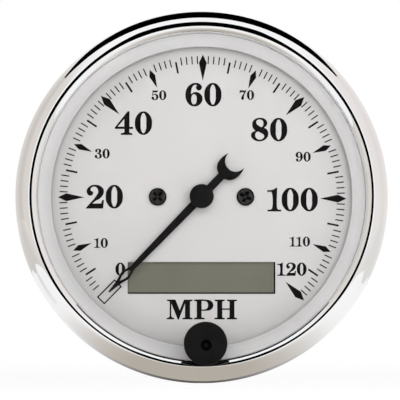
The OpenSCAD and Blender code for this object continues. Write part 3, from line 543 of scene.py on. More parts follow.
def makeBezel(shoulder, lip, lipBend, lipEnd, rebate, rollThick, rollRadius, rollChamfer, backRound,
              segments):
    outer, crest, seat = spreadOf("bezel")[0] / 2, frontOf("bezel"), frontOf("lens_gasket")
    top, bend, end = outer - shoulder, math.sin(math.radians(lipBend)), math.sin(math.radians(lipEnd))
    flatter = lip * (1 - bend) / (end - bend)
    profile = arc(outer - backRound, backRound, backRound, -90, 0, 6)
    profile += arc(top, crest - shoulder, shoulder, 0, 90, 32)
    profile += arc(top, crest - lip, lip, 90, 90 + lipBend, 6)[1:]
    profile += arc(top + (flatter - lip) * bend,
                   crest - lip - (flatter - lip) * math.cos(math.radians(lipBend)), flatter, 90 + lipBend,
                   90 + lipEnd, 16)[1:]
    profile += [(top - lip, seat), (rebate, seat), (rebate, rollThick),
                (rollRadius + rollChamfer, rollThick), (rollRadius, rollThick - rollChamfer),
                (rollRadius, rollChamfer), (rollRadius + rollChamfer, 0)]
    makePiece("bezel_ring", lathe(profile, segments), "chrome", "housing", ["bezel"], 50)


makeBezel(**bezelForm)
print("bezel made")


# rubber seal between glass and bezel, with a rounded inner edge that stands back from the lip
sealForm = {"inner": 38.05, "edge": 0.12, "segments": 288}


def makeSeal(inner, edge, segments):
    outer, low, top = sizesOf("lens_gasket")
    profile = [(outer, low), (outer, top)]
    profile += arc(inner + edge, top - edge, edge, 90, 180, 4)
    profile += arc(inner + edge, low + edge, edge, 180, 270, 4)
    makePiece("glass_seal", lathe(profile, segments), "seal_rubber", "housing", ["lens_gasket"])


makeSeal(**sealForm)
print("glass seal made")


# pale ring round the dial: a thin lip that stands clear of the dial, a face that rises gently to a painted
# shadow line by its wall, and a notch for the push rod
ringForm = {"inner": 34.66, "lipLow": 1.85, "lipThick": 0.5, "lipRound": 0.2, "lipChamfer": 0.05,
            "faceRise": 0.5, "faceEnd": 37.6, "faceChamfer": 0.06, "wall": 37.76, "wallChamfer": 0.1,
            "grooveDeep": 0.1, "hollow": 37.25, "notch": 3.06, "notchSegments": 64, "over": 1,
            "segments": 256, "darkOver": 0.03, "paleEdge": 0.5, "near": 0.02}


def makeRing(inner, lipLow, lipThick, lipRound, lipChamfer, faceRise, faceEnd, faceChamfer, wall, wallChamfer,
             grooveDeep, hollow, notch, notchSegments, over, segments, darkOver, paleEdge, near):
    outer, low, top = sizesOf("reflector_ring")
    under = low + lipLow
    lip = under + lipThick
    rise = lip + faceRise
    profile = [(outer, low), (outer, top), (wall + wallChamfer, top), (wall, top - wallChamfer),
               (wall, rise - grooveDeep), (faceEnd, rise - grooveDeep), (faceEnd, rise - faceChamfer),
               (faceEnd - faceChamfer, rise)]
    profile += arc(inner + lipRound, lip - lipRound, lipRound, 100, 180, 6)
    profile += [(inner, under + lipChamfer), (inner + lipChamfer, under), (hollow, under), (hollow, low)]
    bore = lathe([(0, low - over), (notch, low - over), (notch, top + over), (0, top + over)],
                 notchSegments, None, middleOf("reset_knob"))
    ring = cutAway(lathe(profile, segments), [bore])
    # faces under the lip take the darker underside, painted shade; faces between the face's end and the wall
    # take the painted shadow line
    paintFaces(ring, lambda reach, height: 1 if height < under + darkOver and reach < outer - paleEdge
               else 2 if faceEnd - near < reach < wall - near else 0)
    makePiece("dial_surround", ring, "ring_grey", "housing", ["reflector_ring"], 40,
              ["ring_grey", "ring_shaded_underside", "ring_shadow_line"])


makeRing(**ringForm)
print("dial surround made")


# printed scale: ink lies on the dial as thin closed solids, round a centre set a little off the axis
# lines are given as inner end, outer end and width
# diamonds are given as inner tip, widest place, outer tip and half width
scaleForm = {"centre": (0.16, -0.23), "zeroAngle": 224.75, "degreesPerMark": 2.25, "marks": range(2, 121),
             "inkSunk": 0.004, "inkProud": 0.014, "fine": (31.14, 32.98, 0.27), "five": (29.47, 32.16, 0.44),
             "smallDiamond": (27.55, 30.6, 32.2, 0.71), "largeDiamond": (27.2, 31.4, 33.35, 0.91),
             "zeroBox": (27.56, 33.34, 2.42), "zeroLine": 0.3, "zeroTurn": 0.66}
dialFace = frontOf("dial_plate")
inkLow, inkHigh = dialFace - scaleForm["inkSunk"], dialFace + scaleForm["inkProud"]


# an outline drawn along the mark's own radius, turned to the mark's place on the scale
def markOutline(mark, outline, turn=0):
    angle = math.radians(scaleForm["zeroAngle"] - scaleForm["degreesPerMark"] * mark + turn)
    along, across = Vector((math.cos(angle), math.sin(angle))), Vector((-math.sin(angle), math.cos(angle)))
    centre = Vector(scaleForm["centre"])
    return [tuple(centre + along * reach + across * side) for reach, side in outline]


def lineOutline(line, inset=0):
    half = line[2] / 2 - inset
    return boxRing(line[0] + inset, line[1] - inset, -half, half)


def makeScale(form):
    ticks, diamonds = bmesh.new(), bmesh.new()
    for mark in form["marks"]:
        if mark % 10:
            outline = lineOutline(form["fine"] if mark % 5 else form["five"])
        else:
            inner, widest, outer, half = form["smallDiamond"] if mark % 20 else form["largeDiamond"]
            outline = [(inner, 0), (widest, -half), (outer, 0), (widest, half)]
        prism(ticks if mark % 10 else diamonds, markOutline(mark, outline), inkLow, inkHigh)
    rims = [lineOutline(form["zeroBox"], inset) for inset in (0, form["zeroLine"])]
    pour(ticks, plateFromRings([markOutline(0, rim, form["zeroTurn"]) for rim in rims], inkLow, inkHigh))
    makePrint("scale_ticks", ticks)
    makePrint("scale_diamonds", diamonds)


makeScale(scaleForm)
print("scale printed")


# numerals and letters, each with its width, drawn on a height of 100
# (x, y) is a corner and (x, y, 1) a smooth knot
def oval(x, y, across, up, square=1.0):
    ring = []
    for step in range(8):
        angle = math.radians(45 * step)
        cosine, sine = math.cos(angle), math.sin(angle)
        ring.append((x + across * math.copysign(abs(cosine) ** square, cosine),
                     y + up * math.copysign(abs(sine) ** square, sine), 1))
    return ring


def halfTurned(ring, width):
    return [(width - knot[0], 100 - knot[1]) + knot[2:] for knot in ring]


sixRings = [
    [(42, 100, 1), (21, 93, 1), (6.6, 77, 1), (0.3, 45, 1), (6, 21.7, 1), (18.4, 6, 1), (35.5, 0, 1),
     (56, 6, 1), (70, 32, 1), (61, 52.6, 1), (44, 60.5, 1), (29, 56, 1), (22.4, 49.3), (22.6, 65, 1),
     (28, 83.6, 1), (39, 93, 1), (47.5, 90.5, 1), (44, 81, 1), (54.6, 69, 1), (67.4, 81, 1), (60, 94, 1)],
    [(23, 29.6, 1), (35.5, 52.5, 1), (47.6, 30, 1), (35.2, 7, 1)],
]
glyphs = {
    "0": (70, [oval(35, 50, 35, 50), oval(35, 50, 12.4, 44, 0.85)]),
    "1": (57, [
        [(0.8, 89.5), (14, 89.8, 1), (27, 93.5, 1), (37, 100), (40, 100), (40, 12, 1), (44, 7, 1), (56.5, 6),
         (56.5, 0), (1, 0), (1, 6), (15, 7, 1), (19.8, 12, 1), (19.8, 77, 1), (16, 83, 1), (0.8, 83)]]),
    "2": (74, [
        [(0, 0), (71, 0), (74, 35), (69, 35), (64, 20), (24.5, 19.7), (41, 33, 1), (60, 45, 1), (74, 73, 1),
         (65, 91, 1), (37, 100, 1), (14, 92, 1), (4, 71, 1), (17.6, 55, 1), (30, 67, 1), (18, 79, 1),
         (35, 94, 1), (52, 75, 1), (41, 49, 1), (20, 24, 1)]]),
    "3": (69, [
        [(4, 78, 1), (11, 92, 1), (31, 100, 1), (53, 95, 1), (63, 76, 1), (55, 60, 1), (44, 53.5),
         (60, 46, 1), (69, 27, 1), (60, 7, 1), (31, 0, 1), (9, 6, 1), (0, 22, 1), (12, 36, 1), (24, 24, 1),
         (21, 11, 1), (31, 6, 1), (45, 12, 1), (48, 28, 1), (40, 44, 1), (22, 50), (22, 55), (38, 62, 1),
         (42, 77, 1), (38, 90, 1), (30, 94, 1), (23, 89, 1), (26, 76, 1), (15, 65, 1)]]),
    "4": (75, [
        [(0, 30), (53.7, 100), (60, 100), (60, 33), (74, 33), (75.5, 29.3, 1), (74, 25.8), (60, 25.8),
         (60, 11, 1), (64, 7, 1), (72, 6), (72, 0), (26, 0), (26, 6), (35, 7, 1), (40, 11, 1), (40, 25.8),
         (2, 25.8)],
        [(10, 34), (40, 34), (40, 70)]]),
    "5": (67, [
        [(11, 100), (30, 96, 1), (50, 97, 1), (61, 100), (56, 82, 1), (46, 79.5, 1), (30, 80, 1), (16, 83),
         (13, 55), (22, 60, 1), (36, 63, 1), (57, 55, 1), (67, 32, 1), (57, 8, 1), (30, 0, 1), (9, 6, 1),
         (0, 20, 1), (12, 34, 1), (24, 22, 1), (21, 11, 1), (30, 6, 1), (42, 12, 1), (46, 32, 1), (41, 49, 1),
         (30, 56, 1), (18, 52, 1), (13, 46), (7, 46)]]),
    "6": (70, sixRings),
    "7": (66, [
        [(3, 100), (8, 99), (14, 97, 1), (24, 100, 1), (40, 96, 1), (54, 95, 1), (60, 100), (66, 100),
         (62, 84, 1), (47, 55, 1), (42, 30, 1), (41, 9, 1), (30, 0, 1), (19, 9, 1), (21, 28, 1),
         (34, 54, 1), (54, 80), (42, 77, 1), (28, 81, 1), (14, 80, 1), (7, 68), (2, 68)]]),
    "8": (71, [
        [(36.4, 100, 1), (57, 95, 1), (67, 79, 1), (63, 67, 1), (53, 58), (65, 50, 1), (71, 32, 1),
         (63, 12, 1), (35, 0, 1), (9.4, 9, 1), (0.4, 25, 1), (5.4, 37, 1), (19.5, 44.5), (10, 55, 1),
         (5.8, 71, 1), (10, 88, 1), (22, 97, 1)],
        [(37, 94, 1), (50, 87, 1), (52, 74, 1), (46, 61, 1), (32, 66, 1), (21.5, 77, 1), (23, 89, 1)],
        [(27, 42, 1), (42, 36, 1), (55, 24, 1), (50, 11, 1), (36, 6, 1), (21, 13, 1), (16.6, 26, 1),
         (20, 37, 1)]]),
    "9": (70, [halfTurned(ring, 70) for ring in sixRings]),
    "M": (131, [
        [(1, 100), (43.4, 100), (65.5, 43.7), (87.7, 100), (130, 100), (130, 95), (117, 91.5), (117, 8.5),
         (130, 5), (130, 0), (80, 0), (80, 5), (93, 8.5), (93, 85), (60, -1.5), (56.3, -1.5), (22, 85),
         (22, 16), (27, 8.5, 1), (37, 5), (37, 0), (0, 0), (0, 5), (11, 9, 1), (15.4, 16), (15.4, 90),
         (12, 93, 1), (1, 95)]]),
    "P": (97, [
        [(0.6, 100), (58, 100, 1), (86, 93, 1), (96.6, 72, 1), (86, 51, 1), (58, 44, 1), (37, 44), (37, 8.5),
         (53, 5), (53, 0), (0, 0), (0, 5), (14.5, 8.5), (14.5, 91.5), (0.6, 95)],
        [(37, 94.5), (52, 94.5, 1), (67, 88, 1), (71.5, 72, 1), (67, 56, 1), (52, 49.3, 1), (37, 49.3)]]),
    "H": (113, [
        [(1, 100), (50.8, 100), (50.8, 95), (37.8, 91.5), (37.8, 54.8), (76.3, 54.8), (76.3, 91.5),
         (63, 95), (63, 100), (113, 100), (113, 95), (99.4, 91.5), (99.4, 8.5), (113, 5), (113, 0),
         (62.5, 0), (62.5, 5), (76.3, 8.5), (76.3, 49.2), (37.8, 49.2), (37.8, 8.5), (50.8, 5), (50.8, 0),
         (0, 0), (0, 5), (13.8, 8.5), (13.8, 91.5), (1, 95)]]),
}
numeralForm = {
    "big": {"height": 5.4, "weight": 0.05, "gap": 9, "gapAfterOne": 3, "widen": 1.03, "words": {
        "20": (-22.46, 0.04), "40": (-15.79, 17.11), "60": (0.43, 23.76), "80": (15.63, 15.64),
        "100": (21.02, -0.6)}},
    "medium": {"height": 2.98, "weight": 0.045, "gap": 9, "gapAfterOne": 6, "widen": 1.04, "words": {
        "0": (-18.71, -16.72), "120": (20.82, -16.68)}},
    "small": {"height": 2.24, "weight": 0.03, "gap": 9, "gapAfterOne": 9, "widen": 1.03, "words": {
        "10": (-23.2, -10.65), "30": (-22.97, 10.02), "50": (-9.88, 23.62), "70": (10.48, 23.68),
        "90": (23.51, 9.34), "110": (22.67, -10.32)}}}
unitForm = {"height": 4.46, "weight": 0.04, "gap": 7, "gapAfterOne": 7, "widen": 1.02,
            "words": {"MPH": (0.07, -25.97)}}


# words are given with their middles
def printWords(height, weight, gap, gapAfterOne, widen, words):
    mesh, unit = bmesh.new(), height / 100
    for word, (x, y) in words.items():
        gaps = [gapAfterOne if glyph == "1" else gap for glyph in word[:-1]] + [0]
        left = -sum(glyphs[glyph][0] for glyph in word) / 2 - sum(gaps) / 2
        for glyph, after in zip(word, gaps):
            width, rings = glyphs[glyph]
            drawn = [[(x + (left + knot[0]) * unit * widen, y + (knot[1] - 50) * unit) + knot[2:]
                      for knot in ring] for ring in rings]
            pour(mesh, plateFromRings(drawn, inkLow, inkHigh, weight=weight))
            left += width + after
    return mesh


numerals = bmesh.new()
for numeralSize in numeralForm.values():
    pour(numerals, printWords(**numeralSize))
makePrint("dial_numerals", numerals)
makePrint("unit_letters", printWords(**unitForm))
print("numerals printed")


# dark border round the display glass, widest at the right and bottom, which shows just inside the window
borderForm = {"left": 0.12, "right": 0.34, "top": 0.02, "bottom": 0.36, "outer": 0.6, "window": (34.05, 7.37),
              "height": -18.7, "proud": 0.03, "sunk": 0.01}


def makeDisplayBorder(left, right, top, bottom, outer, window, height, proud, sunk):
    x, face = middleOf("lcd_panel")[0], frontOf("lcd_panel")
    wide, tall = window[0] / 2, window[1] / 2
    outside = boxRing(x - wide - outer, x + wide + outer, height - tall - outer, height + tall + outer)
    inside = boxRing(x - wide + left, x + wide - right, height - tall + bottom, height + tall - top)
    makePrint("display_border", plateFromRings([outside, inside], face - sunk, face + proud), "lcd_glass")


makeDisplayBorder(**borderForm)
print("display border made")


# dial screws: domed heads with a rim darkened by painted shade, and a cross of four tapered pits, also
# darkened by painted shade, round a shallow middle
screwForm = {"headRound": 0.5, "roundEnd": 72, "crown": (0.45, 0.012), "footTall": 0.08, "footIn": 0.06,
             "tip": (0.15, 0.2), "reach": 1.42, "start": 0.34, "armWide": 0.82, "armDeep": 0.75,
             "taper": 0.6, "shorten": 0.85, "middle": 0.5, "middleDeep": 0.16, "rimWide": 0.36,
             "turns": (43, 66), "shank": 1.0, "spread": 20.28, "over": 0.1, "near": 0.03, "segments": 48}


def makeDialScrews(headRound, roundEnd, crown, footTall, footIn, tip, reach, start, armWide, armDeep,
                   taper, shorten, middle, middleDeep, rimWide, turns, shank, spread, over, near, segments):
    radius = (spreadOf("dial_screws")[0] - spread) / 2
    end, top = endsOf("dial_screws")
    half = armWide / 2
    profile = [(0, end), (shank - tip[0], end), (shank, end + tip[1]), (shank, dialFace),
               (radius - footIn, dialFace), (radius, dialFace + footTall)]
    profile += arc(radius - headRound, top - headRound - footTall, headRound, 0, roundEnd, 8)
    profile += [(radius * crown[0], top - crown[1]), (0, top)]
    hollow = top - middleDeep
    pitRim = boxRing(start, reach, -half, half)
    pitFloor = boxRing(start, start + (reach - start) * shorten, -half * taper, half * taper)
    screws = bmesh.new()
    for side, turn in zip((-1, 1), turns):
        pits = [lathe([(0, hollow), (middle, hollow), (middle, top + over), (0, top + over)], segments // 2)]
        for quarter in range(4):
            pit = bmesh.new()
            prism(pit, pitFloor, top - armDeep, top + over, pitRim)
            turnMesh(pit, turn + 90 * quarter)
            pits.append(pit)
        head = cutAway(lathe(profile, segments), pits)
        # rim and pit faces take painted shade
        paintFaces(head, lambda out, height: out > radius - rimWide
                   or (out < reach + over and dialFace < height < hollow - near))
        pour(screws, head, Matrix.Translation((side * spread / 2, 0, 0)))
    makePiece("dial_screw_heads", screws, "screw_black", "housing", ["dial_screws"], 40,
              ["screw_black", "screw_painted_shade"])


makeDialScrews(**screwForm)
print("dial screws made")


# pointer blade, drawn pointing along x: spade with an eye, straight shank, open jaw at the tail
bladeForm = {"restAngle": 226, "edgeRound": 0.08, "jaw": (-8.88, 0, 1),
             "side": [(30.62, 0.17), (27.45, 0.6, 1), (26.4, 0.86, 1), (25.2, 1.14, 1), (24.1, 0.92, 1),
                      (22.9, 0.61, 1), (20.6, 0.66), (2.4, 0.94), (1.8, 1.85, 1), (0, 2.58, 1),
                      (-1.8, 1.85, 1), (-2.4, 0.92), (-6.48, 0.92), (-7.0, 1.85, 1), (-7.99, 2.6, 1),
                      (-9.2, 2.87, 1), (-10.4, 2.8, 1), (-11.48, 2.52), (-10.1, 2.13, 1), (-9.2, 1.25, 1)],
             "eye": [(27.0, 0), (26.2, 0.33, 1), (25.2, 0.56, 1), (24.3, 0.42, 1), (23.75, 0, 1)]}
hubForm = {"capRound": 0.32, "capChamfer": 0.1, "boss": 1.7, "bossChamfer": 0.12, "dish": 0.04,
           "dishKnots": [(0.7, 0.4), (0.4, 1), (0, 1)], "segments": 96}


def mirrored(knots):
    return [(knot[0], -knot[1]) + knot[2:] for knot in reversed(knots)]


def makeBlade(restAngle, edgeRound, jaw, side, eye):
    rings = [side + [jaw] + mirrored(side), eye + mirrored(eye[1:-1])]
    blade = plateFromRings(rings, *endsOf("pointer_blade"), edgeRound, 8)
    turnMesh(blade, restAngle)
    makePiece("pointer_arm", blade, "pointer_black", "pointer", ["pointer_blade"], 40)


def makeHub(capRound, capChamfer, boss, bossChamfer, dish, dishKnots, segments):
    radius, low, top = sizesOf("pointer_hub")
    under = frontOf("pointer_blade")
    profile = [(0, low), (boss - bossChamfer, low), (boss, low + bossChamfer), (boss, under),
               (radius - capChamfer, under), (radius, under + capChamfer)]
    profile += arc(radius - capRound, top - capRound, capRound, 0, 90, 8)
    profile += [(radius * share, top - dish * part) for share, part in dishKnots]
    makePiece("hub_cap", lathe(profile, segments), "hub_black", "pointer", ["pointer_hub"], 40)


makeBlade(**bladeForm)
makeHub(**hubForm)
print("pointer made")


# reset knob: finely ribbed side, rounded front edge, and a dimple darkened by painted shade, a little low,
# with a small nub in it
# the dimple's wall is given from its own edge, up from its floor and up from the front
knobForm = {"ribs": 56, "ribDeep": 0.09, "ribEnd": 0.15, "frontRound": 0.7, "faceDrop": 0.03,
            "backRound": 0.35, "backFlat": 1.2, "dimple": 1.2, "dimpleDeep": 1.1,
            "dimpleShift": (0.12, -0.38), "nub": 0.4, "nubDrop": 0.3, "nubEdge": (0.14, 0.12),
            "nubFoot": 0.05, "faceFlat": 0.6, "pitFloor": [(-0.2, 0), (-0.08, 0.1)],
            "pitRim": [(0, -0.18), (0.03, -0.09), (0.14, 0.05)], "darkOut": 0.02, "darkLow": 0.05,
            "pitSegments": 48}


def makeKnob(ribs, ribDeep, ribEnd, frontRound, faceDrop, backRound, backFlat, dimple, dimpleDeep,
             dimpleShift, nub, nubDrop, nubEdge, nubFoot, faceFlat, pitFloor, pitRim, darkOut, darkLow,
             pitSegments):
    radius, low, top = sizesOf("reset_knob")
    middle, floor, nubTop = middleOf("reset_knob"), top - dimpleDeep, top - nubDrop
    profile = [(0, low), (radius - backFlat, low)]
    profile += arc(radius - backRound, low + backRound, backRound, -90, 0, 5)
    ribbed = (len(profile), len(profile) + 1)
    profile += [(radius, low + backRound + ribEnd), (radius, top - frontRound - ribEnd)]
    profile += arc(radius - frontRound, top - frontRound, frontRound, 0, 90, 10)
    profile += [(radius * faceFlat, top - faceDrop), (0, top - faceDrop)]

    def ribbedRadius(index, angle, reach):
        return reach - ribDeep * (0.5 - 0.5 * math.cos(ribs * angle)) if index in ribbed else reach

    centre = (middle[0] + dimpleShift[0], middle[1] + dimpleShift[1])
    section = [(0, nubTop), (nub - nubEdge[0], nubTop), (nub, nubTop - nubEdge[1]), (nub + nubFoot, floor)]
    section += [(dimple + out, floor + up) for out, up in pitFloor]
    section += [(dimple + out, top + up) for out, up in pitRim] + [(0, top + pitRim[-1][1])]
    pit = lathe(section, pitSegments, None, centre)
    knob = cutAway(lathe(profile, ribs * 4, ribbedRadius, middle), [pit])
    # the dimple's wall and floor take painted shade
    paintFaces(knob, lambda out, height: nub < out < dimple + darkOut and height > floor - darkLow, centre)
    makePiece("knob_body", knob, "knob_black", "reset_button", ["reset_knob"], 45, ["knob_black", "knob_pit_shade"])


makeKnob(**knobForm)
print("reset knob made")


# return spring of the push rod, wound over the length of its part and tied to no body
springForm = {"turns": 7, "wire": 0.2, "stepsPerTurn": 28, "sides": 10}


def makeSpring(turns, wire, stepsPerTurn, sides):
    x, y = middleOf("reset_spring")
    radius, low, top = sizesOf("reset_spring")
    mesh, rows, steps = bmesh.new(), [], turns * stepsPerTurn
    for step in range(steps + 1):
        turn = 2 * math.pi * step / stepsPerTurn
        height = low + wire + (top - low - 2 * wire) * step / steps
        section = arc(radius - wire, height, wire, 0, 360, sides)[:-1]
        spots = [(x + out * math.cos(turn), y + out * math.sin(turn), up) for out, up in section]
        rows.append([mesh.verts.new(spot) for spot in spots])
    for first, second in zip(rows, rows[1:]):
        joinRows(mesh, first, second)
    mesh.faces.new(rows[0])
    mesh.faces.new(rows[-1])
    piece = makePiece("return_spring", mesh, "steel", None, ["reset_spring"])
    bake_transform(piece)


makeSpring(**springForm)
print("return spring made")


# studs with real threads, and their washers and nuts
# flank is how steeply a thread falls and crest how flat its top is; a nut's rings are given from either face
studSpread = 38.1
studForm = {"radius": 2.41, "pitch": 0.794, "threadDeep": 0.4, "flank": 2.6, "crest": 0.15, "segments": 32,
            "stepsPerTurn": 8, "endChamfer": 0.7, "head": 4.5, "headThick": 2.0, "headChamfer": 0.3}
nutForm = {"across": 9.53, "rings": (0, 0.12, 0.24, 0.36, 0.55), "cornerCut": 0.12, "cornerSlope": 1.75,
           "bore": 2.31, "boreChamfer": 0.25, "segments": 72}
washerForm = {"edge": 0.16, "bore": 2.51, "boreChamfer": 0.1, "segments": 72}


def lathePair(profile, segments, radiusAt=None):
    mesh = bmesh.new()
    for side in (-1, 1):
        lathe(profile, segments, radiusAt, (side * studSpread / 2, 0), mesh)
    return mesh


def makeStuds(radius, pitch, threadDeep, flank, crest, segments, stepsPerTurn, endChamfer, head, headThick,
              headChamfer):
    low, top = endsOf("mounting_studs")
    neck = top - headThick
    rows = int((neck - low) / pitch * stepsPerTurn)
    heights = [low + (neck - low) * row / rows for row in range(rows + 1)]
    profile = [(0, low)] + [(radius, height) for height in heights]
    profile += [(head, neck), (head, top - headChamfer), (head - headChamfer, top), (0, top)]

    def threadRadius(index, angle, reach):
        if not 1 <= index <= len(heights):
            return reach
        height = heights[index - 1]
        phase = (height / pitch - angle / (2 * math.pi)) % 1
        cut = threadDeep * min(1, max(0, abs(phase - 0.5) * flank - crest))
        return reach - max(cut, endChamfer - (height - low))

    makePiece("threaded_studs", lathePair(profile, segments, threadRadius), "zinc_steel", "housing",
              ["mounting_studs"], 50)


def makeNuts(across, rings, cornerCut, cornerSlope, bore, boreChamfer, segments):
    low, top = endsOf("stud_nuts")
    half = across / 2
    heights = [low + ring for ring in rings] + [top - ring for ring in reversed(rings)]
    profile = [(bore + boreChamfer, low)] + [(half, height) for height in heights]
    profile += [(bore + boreChamfer, top), (bore, top - boreChamfer), (bore, low + boreChamfer)]

    def hexRadius(index, angle, reach):
        if not 1 <= index <= len(heights):
            return reach
        inward = min(heights[index - 1] - low, top - heights[index - 1])
        flat = (angle + math.pi / 6) % (math.pi / 3) - math.pi / 6
        return min(half / math.cos(flat), half - cornerCut + inward * cornerSlope)

    makePiece("hex_nuts", lathePair(profile, segments, hexRadius), "zinc_steel", "housing", ["stud_nuts"], 28)


def makeWashers(edge, bore, boreChamfer, segments):
    low, top = endsOf("stud_washers")
    side = (spreadOf("stud_washers")[0] - studSpread) / 2 - edge
    profile = arc(side, low + edge, edge, -90, 0, 4) + arc(side, top - edge, edge, 0, 90, 4)
    profile += [(bore + boreChamfer, top), (bore, top - boreChamfer), (bore, low + boreChamfer),
                (bore + boreChamfer, low)]
    makePiece("flat_washers", lathePair(profile, segments), "zinc_steel", "housing", ["stud_washers"], 40)


makeStuds(**studForm)
makeNuts(**nutForm)
makeWashers(**washerForm)
print("studs, washers and nuts made")


# flat blades standing along the case: a plate's own x runs up the dial and its y along the case
def makeBlades(name, node, body, places, up, wide, thick, edge, tip, holes=()):
    end, start = endsOf(node)
    half, (cut, inset) = wide / 2, tip
    outline = [(-half, start), (half, start), (half, end + cut), (half - inset, end), (inset - half, end),
               (-half, end + cut)]
    stand = Matrix(((0, 0, 1, 0), (1, 0, 0, up), (0, 1, 0, 0), (0, 0, 0, 1)))
    blades = bmesh.new()
    for place in places:
        pour(blades, plateFromRings([outline, *holes], -thick / 2, thick / 2, edge),
             Matrix.Translation((place, 0, 0)) @ stand)
    makePiece(name, blades, "brass", body, [node])


# terminal block with a well round each blade, and pierced blades
terminalForm = {"pitch": 6.2, "count": 4, "blockRound": 0.5, "well": (2.0, 7.6), "wellDeep": 1.2,
                "wellRound": 0.25, "slitPlay": 0.1, "slitRound": 0.02, "slitOver": 1, "hole": 0.85,
                "holeFromTip": 3.0, "blade": {"wide": 6.3, "thick": 0.8, "edge": 0.1, "tip": (1.2, 0.84)}}


def makeTerminals(pitch, count, blockRound, well, wellDeep, wellRound, slitPlay, slitRound, slitOver, hole,
                  holeFromTip, blade):
    wide, tall = spreadOf("terminal_block")
    x, y = middleOf("terminal_block")
    low, top = endsOf("terminal_block")
    body, cutters = bmesh.new(), []
    roundedBlock(body, (wide, tall, top - low), (x, y, (low + top) / 2), blockRound)
    places = [x + (index - (count - 1) / 2) * pitch for index in range(count)]
    for place in places:
        pocket, slit = bmesh.new(), bmesh.new()
        roundedBlock(pocket, (*well, wellDeep * 2), (place, y, low), wellRound, 2)
        roundedBlock(slit, (blade["thick"] + slitPlay, blade["wide"] + slitPlay, (top - low) + 2 * slitOver),
                     (place, y, (low + top) / 2), slitRound, 1)
        cutters += [pocket, slit]
    makePiece("terminal_body", cutAway(body, cutters), "socket_black", "housing", ["terminal_block"])
    ring = [(*knot, 1) for knot in arc(0, backOf("blade_terminals") + holeFromTip, hole, 0, 315, 7)]
    makeBlades("spade_terminals", "blade_terminals", "housing", places, y, holes=[ring], **blade)


makeTerminals(**terminalForm)
print("terminals made")


# lamp holder: notched rim, neck with two lugs, ribbed grip, and its two contact blades
lampForm = {"rim": 7.6, "rimThick": 2.0, "rimRound": 0.4, "rimChamfer": 0.3, "dishIn": 1.6, "dishOut": 1.3,
            "dishDeep": 0.25, "notches": 20, "notchDeep": 0.35, "neck": 5.5, "neckChamfer": 0.4,
            "grip": (8.25, 3.2), "gripSunk": 0.4, "gripRound": 0.4, "gripRibs": 4,
            "ribSize": (7.05, 0.3, 0.45), "ribRound": 0.12, "firstRib": 0.9, "ribTrim": 1.2,
            "lugReach": 1.2, "lugThick": 1.5, "lugSunk": 0.2, "lugGap": 0.1, "lugAngle": 50,
            "caseWall": 0.8, "blade": {"wide": 2.4, "thick": 0.8, "edge": 0.1, "tip": (0.7, 0.5)}}


def makeLampHolder(rim, rimThick, rimRound, rimChamfer, dishIn, dishOut, dishDeep, notches, notchDeep,
                   neck, neckChamfer, grip, gripSunk, gripRound, gripRibs, ribSize, ribRound, firstRib,
                   ribTrim, lugReach, lugThick, lugSunk, lugGap, lugAngle, caseWall, blade):
    x, y = middleOf("lamp_socket")
    low, top = endsOf("lamp_socket")
    seat = backOf("case")
    rimLow, lugLow = seat - rimThick, seat + caseWall + lugGap
    profile = [(0, rimLow), (rim - dishIn, rimLow), (rim - dishOut, rimLow + dishDeep)]
    rimStart = len(profile)
    profile += arc(rim - rimRound, rimLow + dishDeep + rimRound, rimRound, -90, 0, 4)
    profile += [(rim, seat - rimChamfer)]
    notched = range(rimStart, len(profile))
    profile += [(rim - rimChamfer, seat), (neck, seat), (neck, top - neckChamfer),
                (neck - neckChamfer, top), (0, top)]

    def notchedRadius(index, angle, reach):
        return reach - notchDeep * max(0, math.cos(notches * angle)) ** 2 if index in notched else reach

    socket = lathe(profile, notches * 8, notchedRadius, (x, y))
    gripTall = rimLow - low
    roundedBlock(socket, (*grip, gripTall + gripSunk), (x, y, low + (gripTall + gripSunk) / 2), gripRound)
    for side in (-1, 1):
        for rib in range(gripRibs):
            height = low + firstRib + rib * (gripTall - ribTrim) / gripRibs
            roundedBlock(socket, ribSize, (x, y + side * (grip[1] / 2), height), ribRound, 2)
    for middle in (0, 180):
        sweep = (middle - lugAngle / 2, middle + lugAngle / 2)
        outline = arc(x, y, neck + lugReach, *sweep, 10) + arc(x, y, neck - lugSunk, *reversed(sweep), 10)
        prism(socket, outline, lugLow, lugLow + lugThick)
    makePiece("lamp_twist_holder", socket, "socket_black", "lamp_holder", ["lamp_socket"])
    makeBlades("lamp_blades", "lamp_contacts", "lamp_holder", [x - grip[0] / 4, x + grip[0] / 4], y, **blade)


makeLampHolder(**lampForm)
print("lamp holder made")


# stage: pale floor, cards that show only in reflections, and soft light
floorForm = {"size": 3.0, "tone": 0.9, "scale": 3, "rough": 0.9, "show": 0.95, "near": 0.08, "far": 0.5}
worldForm = {"fillLight": 0.3}
keyForm = {"spot": (0.02, -0.15, 0.02), "size": 0.18, "power": 0.245}


# one flat face with a material of its own
def stageSheet(name, materialName, corners):
    mesh = bmesh.new()
    mesh.faces.new([mesh.verts.new(corner) for corner in corners])
    sheet = addObject(name, dataFrom(mesh, name))
    material, tree, principled = startMaterial(materialName)
    sheet.data.materials.append(material)
    return sheet, tree, principled


# 1 for rays from the camera, from a reflection or through glass, else 0
def seenShare(tree):
    rays = addNode(tree, "LightPath")
    first, second = addNode(tree, "Math", "MAXIMUM"), addNode(tree, "Math", "MAXIMUM")
    link(tree, (rays, "Is Camera Ray", first, 0), (rays, "Is Glossy Ray", first, 1), (first, 0, second, 0),
         (rays, "Is Transmission Ray", second, 1))
    return second


